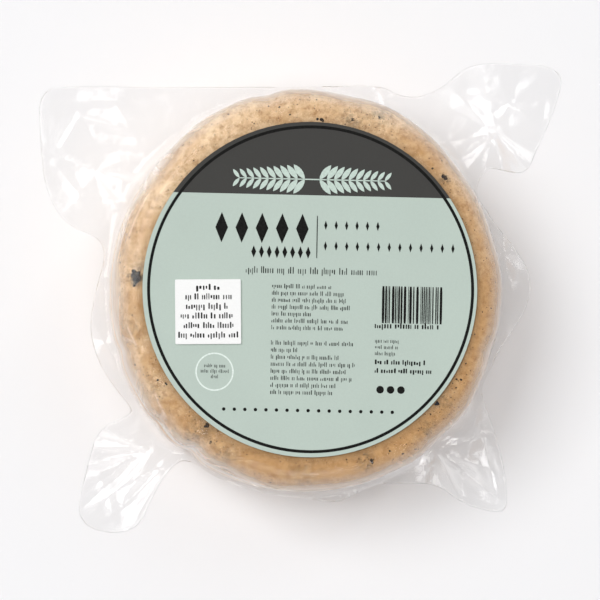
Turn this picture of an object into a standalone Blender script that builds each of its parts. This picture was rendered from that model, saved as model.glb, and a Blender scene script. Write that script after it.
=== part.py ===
"""Truffle goat cheese: a soft wheel in a vacuum-sealed clear bag, with a round paper label on top.

Units are metres and +Z is up. The wheel stands on z = 0, centred on the origin. The bag clings to
the wheel, so its film is modelled where it stands clear: a thin wavy sheet round the wheel's side
with a creased flap at each corner.
"""
import math
from dataclasses import dataclass

import bmesh
import bpy
from mathutils import Vector
from mathutils.geometry import delaunay_2d_cdt

MM = 0.001

# Driving dimensions of the wheel
WHEEL_RADIUS = 55.0 * MM
WHEEL_HEIGHT = 42.0 * MM
OVAL = 0.95 * MM
LOBES = 0.28 * MM
SHOULDER_WIDTH = 8.0 * MM
SHOULDER_RISE = 12.0 * MM
SHOULDER_FULLNESS = 2.7
FOOT_WIDTH = 6.0 * MM
FOOT_RISE = 8.0 * MM
SHOULDER_DIMPLE = 0.3 * MM
WHEEL_STEPS = 120
ROUND_STEPS = 6
SIDE_STEPS = 3

# Driving dimensions of the label and the small sticker
LABEL_RADIUS = 46.5 * MM
PAPER = 0.35 * MM
GAP = 0.3 * MM
LABEL_STEPS = 120
STICKER_SIZE = (18.2 * MM, 17.9 * MM)
STICKER_CENTRE = (-28.4 * MM, -6.3 * MM)
STICKER_TURN = math.radians(0.5)
STICKER_CORNER = 0.3 * MM
STICKER_CORNER_STEPS = 3

# Driving dimensions of the bag
FILM = 0.7 * MM
FILM_HEIGHT = 20.0 * MM
FILM_WAVE = 0.9 * MM
SKIRT_FOOT = 1.6 * MM
MESH_STEP = 3.0 * MM
CREASE_RISE = 1.5 * MM
CREASE_HALF_WIDTH = 3.6 * MM
SMOOTHING_ROUNDS = 2


@dataclass(frozen=True)
class Dent:
    """A press mark in the wheel's side: where it is, how wide it is and how deep."""

    degrees: float
    half_width: float
    depth: float


DENTS = (
    Dent(102.0, 3.0, 0.7 * MM),
    Dent(121.0, 4.0, -0.35 * MM),
    Dent(198.0, 2.6, 0.6 * MM),
    Dent(222.0, 2.6, 0.55 * MM),
    Dent(234.5, 3.0, 1.4 * MM),
    Dent(304.0, 5.0, -0.45 * MM),
    Dent(342.0, 3.4, 0.6 * MM),
)


@dataclass(frozen=True)
class Skirt:
    """A stretch of film between two flaps, which stands out most at its peak."""

    start: float
    end: float
    peak: float
    half_width: float
    reach: float


@dataclass(frozen=True)
class Flap:
    """A corner of the flat bag: its outline in millimetres, and how far its tip lifts or droops."""

    outline: tuple
    middle: float
    half_width: float
    lift: float


RIGHT_SKIRT = Skirt(-28.0, 31.0, 2.5, 14.0, 8.6 * MM)
TOP_SKIRT = Skirt(68.0, 96.0, 66.0, 12.0, 5.0 * MM)
LEFT_SKIRT = Skirt(170.0, 214.0, 194.0, 17.0, 5.2 * MM)
LOWER_SKIRT = Skirt(237.0, 297.0, 279.0, 5.0, 2.2 * MM)

TOP_RIGHT = Flap(
    ((51.5, 35.5), (55, 35), (62.5, 33), (66.5, 42), (70.5, 51), (74, 63.5), (57, 65), (46, 64.5),
     (39.5, 58), (32, 55), (26, 56)),
    45.0, 13.0, 4.0 * MM,
)
TOP_LEFT = Flap(
    ((-10, 58), (-38, 57.5), (-64, 58), (-74.5, 57), (-74, 42), (-72.5, 28), (-66.5, 18.5), (-57, 15.2)),
    142.0, 16.0, -4.0 * MM,
)
LOWER_LEFT = Flap(
    ((-49, -34.5), (-57.5, -38), (-60.5, -48), (-64.5, -65.5), (-47, -68.5), (-41.5, -55), (-35.5, -47)),
    225.0, 11.0, -5.0 * MM,
)
LOWER_RIGHT = Flap(
    ((30, -53), (37, -53), (45, -59.5), (57.5, -62.5), (56, -51), (53, -40), (49.5, -30)),
    313.0, 11.0, 3.0 * MM,
)
EDGE = (RIGHT_SKIRT, TOP_RIGHT, TOP_SKIRT, TOP_LEFT, LEFT_SKIRT, LOWER_LEFT, LOWER_SKIRT, LOWER_RIGHT)
FLAPS = (TOP_RIGHT, TOP_LEFT, LOWER_LEFT, LOWER_RIGHT)


@dataclass(frozen=True)
class Crease:
    """A straight fold in the film, in millimetres: a ridge, or a valley where its strength is negative."""

    start: tuple
    end: tuple
    strength: float


CREASES = (
    Crease((54, 45.4), (43.5, 39.8), 1.8),
    Crease((54, 45.4), (62.6, 35), 2.0),
    Crease((54, 45.4), (48.2, 60), 1.6),
    Crease((54, 45.4), (69, 58), 1.2),
    Crease((-60.5, 56), (-41.3, 51.3), 1.7),
    Crease((-68.1, 40.9), (-62.9, 49.3), 1.5),
    Crease((-62.9, 49.3), (-51.7, 46.5), 1.5),
    Crease((-60, 39.2), (-46, 39), -1.5),
    Crease((-69.5, 36), (-61, 24), 1.8),
    Crease((-56, 32.5), (-54.5, 20), 1.6),
    Crease((-44.9, -43.3), (-57.3, -43.3), 1.7),
    Crease((-44.9, -43.3), (-52.5, -53), -1.5),
    Crease((-39, -49), (-48, -65), 1.6),
    Crease((37, -45), (43.4, -57), 1.6),
    Crease((39.5, -44.5), (53.3, -57), -1.6),
    Crease((50.2, -33), (54.5, -52), 1.7),
)


def clear_scene():
    """Remove every object of the open scene."""
    for item in list(bpy.data.objects):
        bpy.data.objects.remove(item, do_unlink=True)


def make_material(name, colour, roughness, alpha=1.0):
    """Return a plain material with the given linear colour and roughness."""
    material = bpy.data.materials.new(name)
    material.use_nodes = True
    shader = material.node_tree.nodes["Principled BSDF"]
    shader.inputs["Base Color"].default_value = (*colour, 1.0)
    shader.inputs["Roughness"].default_value = roughness
    shader.inputs["Metallic"].default_value = 0.0
    shader.inputs["Alpha"].default_value = alpha
    return material


def add_object(name, mesh, material, parent, smooth_angle=None):
    """Link a finished mesh into the scene as one named part."""
    mesh.materials.append(material)
    if smooth_angle is not None:
        mesh.shade_smooth()
        mesh.set_sharp_from_angle(angle=smooth_angle)
    part = bpy.data.objects.new(name, mesh)
    part.parent = parent
    bpy.context.scene.collection.objects.link(part)
    return part


def turn_gap(degrees, centre):
    """Return the signed angle in degrees from a centre angle, between -180 and 180."""
    return (degrees - centre + 180.0) % 360.0 - 180.0


def bell(value, half_width):
    """Return a smooth hump: 1 at zero, falling off over the half width."""
    return math.exp(-((value / half_width) ** 2))


def side_radius(angle):
    """Return the radius of the wheel's slightly oval, dented side at an angle in radians."""
    degrees = math.degrees(angle)
    radius = WHEEL_RADIUS + OVAL * math.cos(2.0 * (angle - math.pi / 2.0))
    radius += LOBES * math.cos(3.0 * (angle + 0.5)) + 0.5 * LOBES * math.cos(6.0 * (angle + 0.24))
    for dent in DENTS:
        radius -= dent.depth * bell(turn_gap(degrees, dent.degrees), dent.half_width)
    return radius


def wheel_profile():
    """Return the wheel's rings from the foot to the top, as (inset from the side, height) pairs.

    The foot is rounded as a quarter ellipse. The shoulder is fuller than an ellipse: flat at first,
    then turning down quickly.
    """
    rings = []
    for step in range(ROUND_STEPS + 1):
        turn = 0.5 * math.pi * step / ROUND_STEPS
        rings.append((FOOT_WIDTH * (1.0 - math.sin(turn)), FOOT_RISE * (1.0 - math.cos(turn))))
    side_top = WHEEL_HEIGHT - SHOULDER_RISE
    for step in range(1, SIDE_STEPS):
        rings.append((0.0, FOOT_RISE + (side_top - FOOT_RISE) * step / SIDE_STEPS))
    power = 2.0 / SHOULDER_FULLNESS
    for step in range(ROUND_STEPS):
        turn = 0.5 * math.pi * step / ROUND_STEPS
        inset = SHOULDER_WIDTH * (1.0 - math.cos(turn) ** power)
        rings.append((inset, side_top + SHOULDER_RISE * math.sin(turn) ** power))
    rings.append((SHOULDER_WIDTH, WHEEL_HEIGHT))
    return rings


def shoulder_relief(angle, height):
    """Return how far the soft upper rim stands above or below its smooth form."""
    share = max(0.0, height - (WHEEL_HEIGHT - SHOULDER_RISE)) / SHOULDER_RISE
    fade = 4.0 * share * (1.0 - share)
    wave = math.sin(7.0 * angle + 0.6) + 0.7 * math.sin(11.0 * angle + 2.1) + 0.5 * math.sin(17.0 * angle)
    return SHOULDER_DIMPLE * fade * wave


def build_wheel(material, parent):
    """Build the cheese: a low round wheel with soft shoulders, flat underneath."""
    shape = bmesh.new()
    rings = []
    for inset, height in wheel_profile():
        ring = []
        for step in range(WHEEL_STEPS):
            angle = 2.0 * math.pi * step / WHEEL_STEPS
            radius = side_radius(angle) - inset + shoulder_relief(angle, height)
            ring.append(shape.verts.new((radius * math.cos(angle), radius * math.sin(angle), height)))
        rings.append(ring)
    for lower, upper in zip(rings, rings[1:]):
        for step in range(WHEEL_STEPS):
            following = (step + 1) % WHEEL_STEPS
            shape.faces.new((lower[step], lower[following], upper[following], upper[step]))
    floor_point = shape.verts.new((0.0, 0.0, 0.0))
    top_point = shape.verts.new((0.0, 0.0, WHEEL_HEIGHT))
    for step in range(WHEEL_STEPS):
        following = (step + 1) % WHEEL_STEPS
        shape.faces.new((rings[0][following], rings[0][step], floor_point))
        shape.faces.new((rings[-1][step], rings[-1][following], top_point))
    bmesh.ops.triangulate(shape, faces=list(shape.faces))
    mesh = bpy.data.meshes.new("cheese_wheel")
    shape.to_mesh(mesh)
    shape.free()
    return add_object("cheese_wheel", mesh, material, parent, math.radians(40.0))


def build_plate(name, corners, underside, thickness, material, parent):
    """Build a thin flat plate from its outline, standing from its underside up."""
    shape = bmesh.new()
    base = shape.faces.new([shape.verts.new((x, y, underside)) for x, y in corners])
    extruded = bmesh.ops.extrude_face_region(shape, geom=[base])
    raised = [item for item in extruded["geom"] if isinstance(item, bmesh.types.BMVert)]
    bmesh.ops.translate(shape, verts=raised, vec=(0.0, 0.0, thickness))
    bmesh.ops.recalc_face_normals(shape, faces=list(shape.faces))
    bmesh.ops.triangulate(shape, faces=list(shape.faces))
    mesh = bpy.data.meshes.new(name)
    shape.to_mesh(mesh)
    shape.free()
    return add_object(name, mesh, material, parent, math.radians(30.0))


def circle_points(radius, steps):
    """Return points round a circle about the origin."""
    angles = [2.0 * math.pi * step / steps for step in range(steps)]
    return [(radius * math.cos(angle), radius * math.sin(angle)) for angle in angles]


def sticker_points():
    """Return the small sticker's outline: a slightly turned rectangle with round corners."""
    half_x = 0.5 * STICKER_SIZE[0] - STICKER_CORNER
    half_y = 0.5 * STICKER_SIZE[1] - STICKER_CORNER
    points = []
    for corner, (sign_x, sign_y) in enumerate(((1, 1), (-1, 1), (-1, -1), (1, -1))):
        for step in range(STICKER_CORNER_STEPS + 1):
            angle = 0.5 * math.pi * (corner + step / STICKER_CORNER_STEPS)
            x = sign_x * half_x + STICKER_CORNER * math.cos(angle)
            y = sign_y * half_y + STICKER_CORNER * math.sin(angle)
            turned_x = x * math.cos(STICKER_TURN) - y * math.sin(STICKER_TURN)
            turned_y = x * math.sin(STICKER_TURN) + y * math.cos(STICKER_TURN)
            points.append((STICKER_CENTRE[0] + turned_x, STICKER_CENTRE[1] + turned_y))
    return points


def skirt_points(skirt):
    """Return the outline of one stretch of skirt, standing out from the wheel's side."""
    count = max(2, round((skirt.end - skirt.start) / 6.0))
    points = []
    for step in range(count + 1):
        degrees = skirt.start + (skirt.end - skirt.start) * step / count
        angle = math.radians(degrees)
        reach = SKIRT_FOOT + skirt.reach * bell(turn_gap(degrees, skirt.peak), skirt.half_width)
        radius = side_radius(angle) + GAP + reach
        points.append(Vector((radius * math.cos(angle), radius * math.sin(angle))))
    return points


def round_off(points):
    """Return a closed outline with its corners cut to a smooth curve."""
    for _ in range(SMOOTHING_ROUNDS):
        cut = []
        for here, following in zip(points, points[1:] + points[:1]):
            cut.append(here.lerp(following, 0.25))
            cut.append(here.lerp(following, 0.75))
        points = cut
    return points


def resample(points, spacing):
    """Return a closed outline as evenly spaced points, about the spacing apart."""
    lengths = [(b - a).length for a, b in zip(points, points[1:] + points[:1])]
    count = max(8, round(sum(lengths) / spacing))
    stride = sum(lengths) / count
    result = []
    walked = 0.0
    target = 0.0
    for start, end, length in zip(points, points[1:] + points[:1], lengths):
        while target < walked + length and len(result) < count:
            result.append(start.lerp(end, (target - walked) / length))
            target += stride
        walked += length
    return result


def bag_outline():
    """Return the bag's outer edge seen from above, counter-clockwise."""
    points = []
    for stretch in EDGE:
        if isinstance(stretch, Skirt):
            points.extend(skirt_points(stretch))
        else:
            points.extend(Vector((x * MM, y * MM)) for x, y in stretch.outline)
    return resample(round_off(points), MESH_STEP)


def inner_outline():
    """Return the line where the film leaves the wheel's side, seen from above."""
    count = round(2.0 * math.pi * WHEEL_RADIUS / MESH_STEP)
    points = []
    for step in range(count):
        angle = 2.0 * math.pi * step / count
        radius = side_radius(angle) + GAP
        points.append(Vector((radius * math.cos(angle), radius * math.sin(angle))))
    return points


def inside(point, outline):
    """Tell whether a point lies inside a closed outline."""
    crossings = 0
    for a, b in zip(outline, outline[1:] + outline[:1]):
        if (a.y > point.y) != (b.y > point.y):
            if point.x < a.x + (point.y - a.y) * (b.x - a.x) / (b.y - a.y):
                crossings += 1
    return crossings % 2 == 1


def distance_to_segment(point, start, end):
    """Return the distance from a point to a segment, and how far along the segment it is."""
    along = end - start
    share = max(0.0, min(1.0, (point - start).dot(along) / along.length_squared))
    return (point - (start + along * share)).length, share


def nearest(point, others):
    """Return the distance from a point to the nearest of the others."""
    return min((point - other).length for other in others)


def film_height(point):
    """Return the film's height at a place seen from above: root, lift of the flaps, wave and folds."""
    angle = math.atan2(point.y, point.x)
    reach = max(0.0, point.length - side_radius(angle))
    height = FILM_HEIGHT
    for flap in FLAPS:
        turned = bell(turn_gap(math.degrees(angle), flap.middle), 2.0 * flap.half_width)
        height += flap.lift * turned * reach / (0.5 * WHEEL_RADIUS)
    free = min(1.0, reach / (6.0 * MM))
    wave = math.sin(9.0 * angle + 0.4) + 0.6 * math.sin(16.0 * angle + 1.7)
    height += FILM_WAVE * (0.3 + 0.7 * free) * wave
    for crease in CREASES:
        start = Vector(crease.start) * MM
        end = Vector(crease.end) * MM
        distance, share = distance_to_segment(point, start, end)
        taper = 0.35 + 0.65 * math.sin(math.pi * (0.15 + 0.7 * share))
        height += crease.strength * CREASE_RISE * taper * free * max(0.0, 1.0 - distance / CREASE_HALF_WIDTH)
    return height


def film_triangles():
    """Return the film's points seen from above and the triangles between them."""
    outer = bag_outline()
    inner = inner_outline()
    points = outer + inner
    edges = [(i, (i + 1) % len(outer)) for i in range(len(outer))]
    edges += [(len(outer) + i, len(outer) + (i + 1) % len(inner)) for i in range(len(inner))]
    border = list(points)
    folds = []
    for crease in CREASES:
        start = Vector(crease.start) * MM
        end = Vector(crease.end) * MM
        count = max(2, round((end - start).length / MESH_STEP))
        last = None
        for step in range(count + 1):
            place = start.lerp(end, step / count)
            clear = inside(place, outer) and not inside(place, inner) and nearest(place, border) > 1.2 * MM
            if clear:
                points.append(place)
                folds.append(place)
                if last is not None:
                    edges.append((last, len(points) - 1))
            last = len(points) - 1 if clear else None
    row_height = MESH_STEP * math.sqrt(0.75)
    span = 80.0 * MM
    rows = int(2.0 * span / row_height)
    columns = int(2.0 * span / MESH_STEP)
    for row in range(rows):
        for column in range(columns):
            x = -span + (column + 0.5 * (row % 2)) * MESH_STEP
            place = Vector((x, -span + row * row_height))
            if place.length < WHEEL_RADIUS or not inside(place, outer) or inside(place, inner):
                continue
            if nearest(place, border + folds) > 0.62 * MESH_STEP:
                points.append(place)
    result = delaunay_2d_cdt(points, edges, [], 0, 1e-7)
    places = [Vector(point) for point in result[0]]
    triangles = []
    for corners in result[2]:
        middle = sum((places[i] for i in corners), Vector((0.0, 0.0))) / 3.0
        if inside(middle, outer) and not inside(middle, inner):
            triangles.append(tuple(corners))
    return places, triangles


def build_bag(material, parent):
    """Build the film that stands clear of the wheel: one thin, wavy, creased sheet with two like faces."""
    places, triangles = film_triangles()
    used = sorted({corner for corners in triangles for corner in corners})
    shape = bmesh.new()
    upper = {}
    lower = {}
    for index in used:
        x, y = places[index]
        height = film_height(places[index])
        upper[index] = shape.verts.new((x, y, height + 0.5 * FILM))
        lower[index] = shape.verts.new((x, y, height - 0.5 * FILM))
    directed = set()
    for a, b, c in triangles:
        area = (places[b] - places[a]).cross(places[c] - places[a])
        corners = (a, b, c) if area > 0.0 else (a, c, b)
        shape.faces.new([upper[i] for i in corners])
        shape.faces.new([lower[i] for i in reversed(corners)])
        directed.update(zip(corners, corners[1:] + corners[:1]))
    for a, b in sorted(directed):
        if (b, a) not in directed:
            shape.faces.new((upper[b], upper[a], lower[a]))
            shape.faces.new((upper[b], lower[a], lower[b]))
    mesh = bpy.data.meshes.new("clear_bag")
    shape.to_mesh(mesh)
    shape.free()
    return add_object("clear_bag", mesh, material, parent, math.radians(30.0))


def main():
    """Build the packed cheese."""
    clear_scene()
    base = bpy.data.objects.new("truffle_goat_cheese", None)
    bpy.context.scene.collection.objects.link(base)
    cheese = make_material("cheese", (0.72, 0.55, 0.37), 0.5)
    film = make_material("clear_film", (0.9, 0.9, 0.9), 0.12, alpha=0.25)
    paper = make_material("mint_paper", (0.51, 0.6, 0.54), 0.6)
    sticker = make_material("white_paper", (0.93, 0.93, 0.92), 0.55)
    build_wheel(cheese, base)
    build_bag(film, base)
    label_under = WHEEL_HEIGHT + GAP
    build_plate("round_label", circle_points(LABEL_RADIUS, LABEL_STEPS), label_under, PAPER, paper, base)
    sticker_under = label_under + PAPER + GAP
    build_plate("small_sticker", sticker_points(), sticker_under, PAPER, sticker, base)


main()
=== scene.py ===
"""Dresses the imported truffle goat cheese: cheese, truffle flecks, clear film and printed label."""
import logging
import math
import random
from dataclasses import dataclass
from enum import Enum

import bmesh
import bpy
import numpy as np
from mathutils import Matrix, Vector
from mathutils.bvhtree import BVHTree
from mathutils.geometry import delaunay_2d_cdt
from mathutils.kdtree import KDTree


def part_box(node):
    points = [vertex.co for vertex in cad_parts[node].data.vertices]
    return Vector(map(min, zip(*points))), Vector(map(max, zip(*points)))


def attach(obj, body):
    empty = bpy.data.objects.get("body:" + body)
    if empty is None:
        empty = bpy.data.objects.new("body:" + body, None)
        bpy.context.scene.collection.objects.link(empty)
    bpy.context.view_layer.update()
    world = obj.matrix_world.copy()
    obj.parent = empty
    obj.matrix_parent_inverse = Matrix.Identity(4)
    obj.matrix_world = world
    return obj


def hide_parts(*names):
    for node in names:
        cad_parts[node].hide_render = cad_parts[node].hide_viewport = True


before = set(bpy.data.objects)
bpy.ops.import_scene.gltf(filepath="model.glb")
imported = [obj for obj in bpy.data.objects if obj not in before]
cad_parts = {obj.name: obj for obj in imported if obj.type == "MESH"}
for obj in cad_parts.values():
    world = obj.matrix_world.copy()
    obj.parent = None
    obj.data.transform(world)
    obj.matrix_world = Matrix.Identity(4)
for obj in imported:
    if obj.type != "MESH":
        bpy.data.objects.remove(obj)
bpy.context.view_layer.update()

BODY = "root"
MM = 0.001
LOG = logging.getLogger("truffle_goat_cheese")
Socket = bpy.types.NodeSocket
Material = bpy.types.Material
Piece = bpy.types.Object


def bell(value: np.ndarray, half_width: float) -> np.ndarray:
    """Return a smooth hump: 1 at zero, falling off over the half width."""
    return np.exp(-((value / half_width) ** 2))


def turn_gap(degrees: np.ndarray, centre: float) -> np.ndarray:
    """Return signed angles in degrees from a centre angle, between -180 and 180."""
    return (degrees - centre + 180.0) % 360.0 - 180.0


def on_circle(angle: np.ndarray, radius: np.ndarray) -> np.ndarray:
    """Return the points at these angles and radii, one row each."""
    return np.stack([radius * np.cos(angle), radius * np.sin(angle)], axis=-1)


# Node trees


class Board:
    """A node tree that is drawn up in code."""

    def __init__(self, tree: bpy.types.NodeTree) -> None:
        """Take over a tree."""
        self.tree = tree

    def add(self, kind: str, links: dict | None = None, **settings: object) -> bpy.types.Node:
        """Add a node.

        Args:
            kind: the node's type name.
            links: its input sockets by name or number, each linked to a socket or given a value.
            settings: the node's own properties.

        Returns:
            The new node.
        """
        node = self.tree.nodes.new(kind)
        for name, value in settings.items():
            setattr(node, name, value)
        for name, value in (links or {}).items():
            if isinstance(value, Socket):
                self.tree.links.new(value, node.inputs[name])
            else:
                node.inputs[name].default_value = value
        return node

    def step(self, kind: str, links: dict | None = None, **settings: object) -> Socket:
        """Add a node and return its first output."""
        return self.add(kind, links, **settings).outputs[0]

    def times(self, first: object, second: object, clamp: bool = False) -> Socket:
        """Return the product of two sockets or numbers."""
        return self.sum("MULTIPLY", first, second, clamp)

    def sum(
        self, operation: str, first: object, second: object = 0.0, clamp: bool = False
    ) -> Socket:
        """Return the result of one arithmetic step on two sockets or numbers."""
        links = {0: first, 1: second}
        return self.step("ShaderNodeMath", links, operation=operation, use_clamp=clamp)

    def between(
        self, value: Socket, low: float, high: float, first: object = 0.0, last: object = 1.0
    ) -> Socket:
        """Return a value stretched so that low becomes the first number or socket and high the last."""
        links = {"Value": value, "From Min": low, "From Max": high, "To Min": first, "To Max": last}
        return self.step("ShaderNodeMapRange", links)


class NodeDraft(Board):
    """A Geometry Nodes tree with named inputs."""

    def __init__(self, name: str) -> None:
        """Start an empty tree whose main input and output are geometry.

        Args:
            name: the tree's name.
        """
        super().__init__(bpy.data.node_groups.new(name, "GeometryNodeTree"))
        self.tree.interface.new_socket("Geometry", in_out="INPUT", socket_type="NodeSocketGeometry")
        self.tree.interface.new_socket("Geometry", in_out="OUTPUT", socket_type="NodeSocketGeometry")
        self.inputs = self.tree.nodes.new("NodeGroupInput")
        self.outputs = self.tree.nodes.new("NodeGroupOutput")
        self.start = self.inputs.outputs["Geometry"]

    def ask(self, name: str, kind: str) -> Socket:
        """Add a named input of a socket type and return its socket inside the tree."""
        self.tree.interface.new_socket(name, in_out="INPUT", socket_type=kind)
        return self.inputs.outputs[name]

    def numbers(self, *names: str) -> list[Socket]:
        """Add named inputs for numbers."""
        return [self.ask(name, "NodeSocketFloat") for name in names]

    def attribute(self, name: str, kind: str = "FLOAT") -> Socket:
        """Return the value that each point carries under a name."""
        node = self.add("GeometryNodeInputNamedAttribute", {"Name": name}, data_type=kind)
        return node.outputs["Attribute"]

    def end(self, geometry: Socket) -> bpy.types.NodeTree:
        """Close the tree: realise the instances and set the finish, which is its last input.

        Args:
            geometry: what the tree has made.

        Returns:
            The finished tree.
        """
        whole = self.step("GeometryNodeRealizeInstances", {"Geometry": geometry})
        finish = self.ask("Finish", "NodeSocketMaterial")
        dressed = self.step("GeometryNodeSetMaterial", {"Geometry": whole, "Material": finish})
        self.tree.links.new(dressed, self.outputs.inputs["Geometry"])
        return self.tree


def grow(piece: Piece, tree: bpy.types.NodeTree, values: dict[str, object]) -> None:
    """Run a tree on a piece and keep the result as its plain mesh.

    Args:
        piece: the object that holds the starting mesh.
        tree: the Geometry Nodes tree.
        values: the tree's inputs by name.
    """
    modifier = piece.modifiers.new(tree.name, "NODES")
    modifier.node_group = tree
    for item in tree.interface.items_tree:
        if item.item_type == "SOCKET" and item.in_out == "INPUT" and item.name in values:
            modifier[item.identifier] = values[item.name]
    seen = bpy.context.evaluated_depsgraph_get()
    mesh = bpy.data.meshes.new_from_object(
        piece.evaluated_get(seen), preserve_all_data_layers=True, depsgraph=seen
    )
    piece.modifiers.remove(modifier)
    plain = piece.data
    piece.data = mesh
    bpy.data.meshes.remove(plain)


def new_piece(name: str, points: np.ndarray, faces: list, material: Material | None = None) -> Piece:
    """Make a smooth mesh object from points and faces, at the origin.

    Args:
        name: the piece's name.
        points: its points, one row each.
        faces: the corners of each face, by number.
        material: its finish, if it is set now.

    Returns:
        The new object.
    """
    mesh = bpy.data.meshes.new(name)
    mesh.from_pydata([tuple(point) for point in points], [], faces)
    if faces:
        mesh.shade_smooth()
    if material is not None:
        mesh.materials.append(material)
    mesh.update()
    piece = bpy.data.objects.new(name, mesh)
    bpy.context.scene.collection.objects.link(piece)
    return piece


def mark_points(piece: Piece, name: str, values: np.ndarray | list) -> None:
    """Store a number or a vector for each point of a piece.

    Args:
        piece: the piece.
        name: the name that they are stored under.
        values: the numbers, or the vectors, one row each.
    """
    numbers = np.asarray(values, np.float32)
    kind, field = ("FLOAT", "value") if numbers.ndim == 1 else ("FLOAT_VECTOR", "vector")
    piece.data.attributes.new(name, kind, "POINT").data.foreach_set(field, numbers.ravel())


def ring_faces(rings: int, steps: int, first: int = 0) -> list[tuple[int, ...]]:
    """Return the four-sided faces between rings of points that follow each other.

    Args:
        rings: how many rings there are.
        steps: how many points each has.
        first: the number of the first point.

    Returns:
        The corners of each face, by number.
    """
    faces = []
    for ring in range(rings - 1):
        low = first + ring * steps
        for step in range(steps):
            after = (step + 1) % steps
            faces.append((low + step, low + after, low + steps + after, low + steps + step))
    return faces


def near_finder(points: list) -> KDTree:
    """Return a tree that finds the nearest of these flat points.

    Args:
        points: the points, each with two coordinates.

    Returns:
        The tree, ready to search at height zero.
    """
    finder = KDTree(len(points))
    for number, point in enumerate(points):
        finder.insert((*point, 0.0), number)
    finder.balance()
    return finder


def dress_solid(name: str, material: Material) -> None:
    """Give one of the frame's own solids a finish.

    Args:
        name: the solid's node.
        material: its finish.
    """
    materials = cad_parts[name].data.materials
    materials.clear()
    materials.append(material)
    LOG.info("%s: dressed", name)


def settle(piece: Piece, slot: str, *nodes: str) -> None:
    """Hand a finished piece to the frame.

    Args:
        piece: the finished object.
        slot: the name of a material slot of the record; it is not used.
        nodes: the solids that it stands for.
    """
    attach(piece, BODY)
    if nodes:
        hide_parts(*nodes)
    LOG.info("%s: %d faces", piece.name, len(piece.data.polygons))


# Finishes


class Look(Board):
    """A material's node tree."""

    def __init__(self, name: str) -> None:
        """Start an empty material with an output node.

        Args:
            name: the material's name.
        """
        self.material = bpy.data.materials.new(name)
        self.material.use_nodes = True
        super().__init__(self.material.node_tree)
        self.tree.nodes.clear()
        self.out = self.tree.nodes.new("ShaderNodeOutputMaterial")

    def place(self) -> Socket:
        """Return the place on the object, in metres."""
        return self.add("ShaderNodeTexCoord").outputs["Object"]

    def mark(self, name: str) -> Socket:
        """Return the number that each point of the mesh carries under a name."""
        return self.add("ShaderNodeAttribute", attribute_name=name).outputs["Fac"]

    def noise(self, size: float, detail: float = 3.0, roughness: float = 0.5) -> Socket:
        """Return soft noise from 0 to 1 whose lumps are about this size in metres."""
        links = {"Vector": self.place(), "Scale": 1.0 / size, "Detail": detail, "Roughness": roughness}
        return self.step("ShaderNodeTexNoise", links)

    def blend(self, share: object, first: object, second: object) -> Socket:
        """Return a colour between two, each a socket or three numbers.

        Args:
            share: how much of the second colour there is.
            first: the colour where the share is 0.
            second: the colour where it is 1.

        Returns:
            The mixed colour.
        """
        node = self.add("ShaderNodeMix", data_type="RGBA")
        for socket, value in ((node.inputs[0], share), (node.inputs[6], first), (node.inputs[7], second)):
            if isinstance(value, Socket):
                self.tree.links.new(value, socket)
            elif isinstance(value, float):
                socket.default_value = value
            else:
                socket.default_value = (*value, 1.0)
        return node.outputs[2]

    def bump(self, height: Socket, depth: float) -> Socket:
        """Return a normal from a height between 0 and 1 that stands for this depth in metres."""
        return self.step("ShaderNodeBump", {"Height": height, "Distance": depth, "Strength": 1.0})

    def finish(self, shader: bpy.types.Node) -> Material:
        """Connect the last shader and return the material."""
        self.tree.links.new(shader.outputs[0], self.out.inputs["Surface"])
        return self.material


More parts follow.
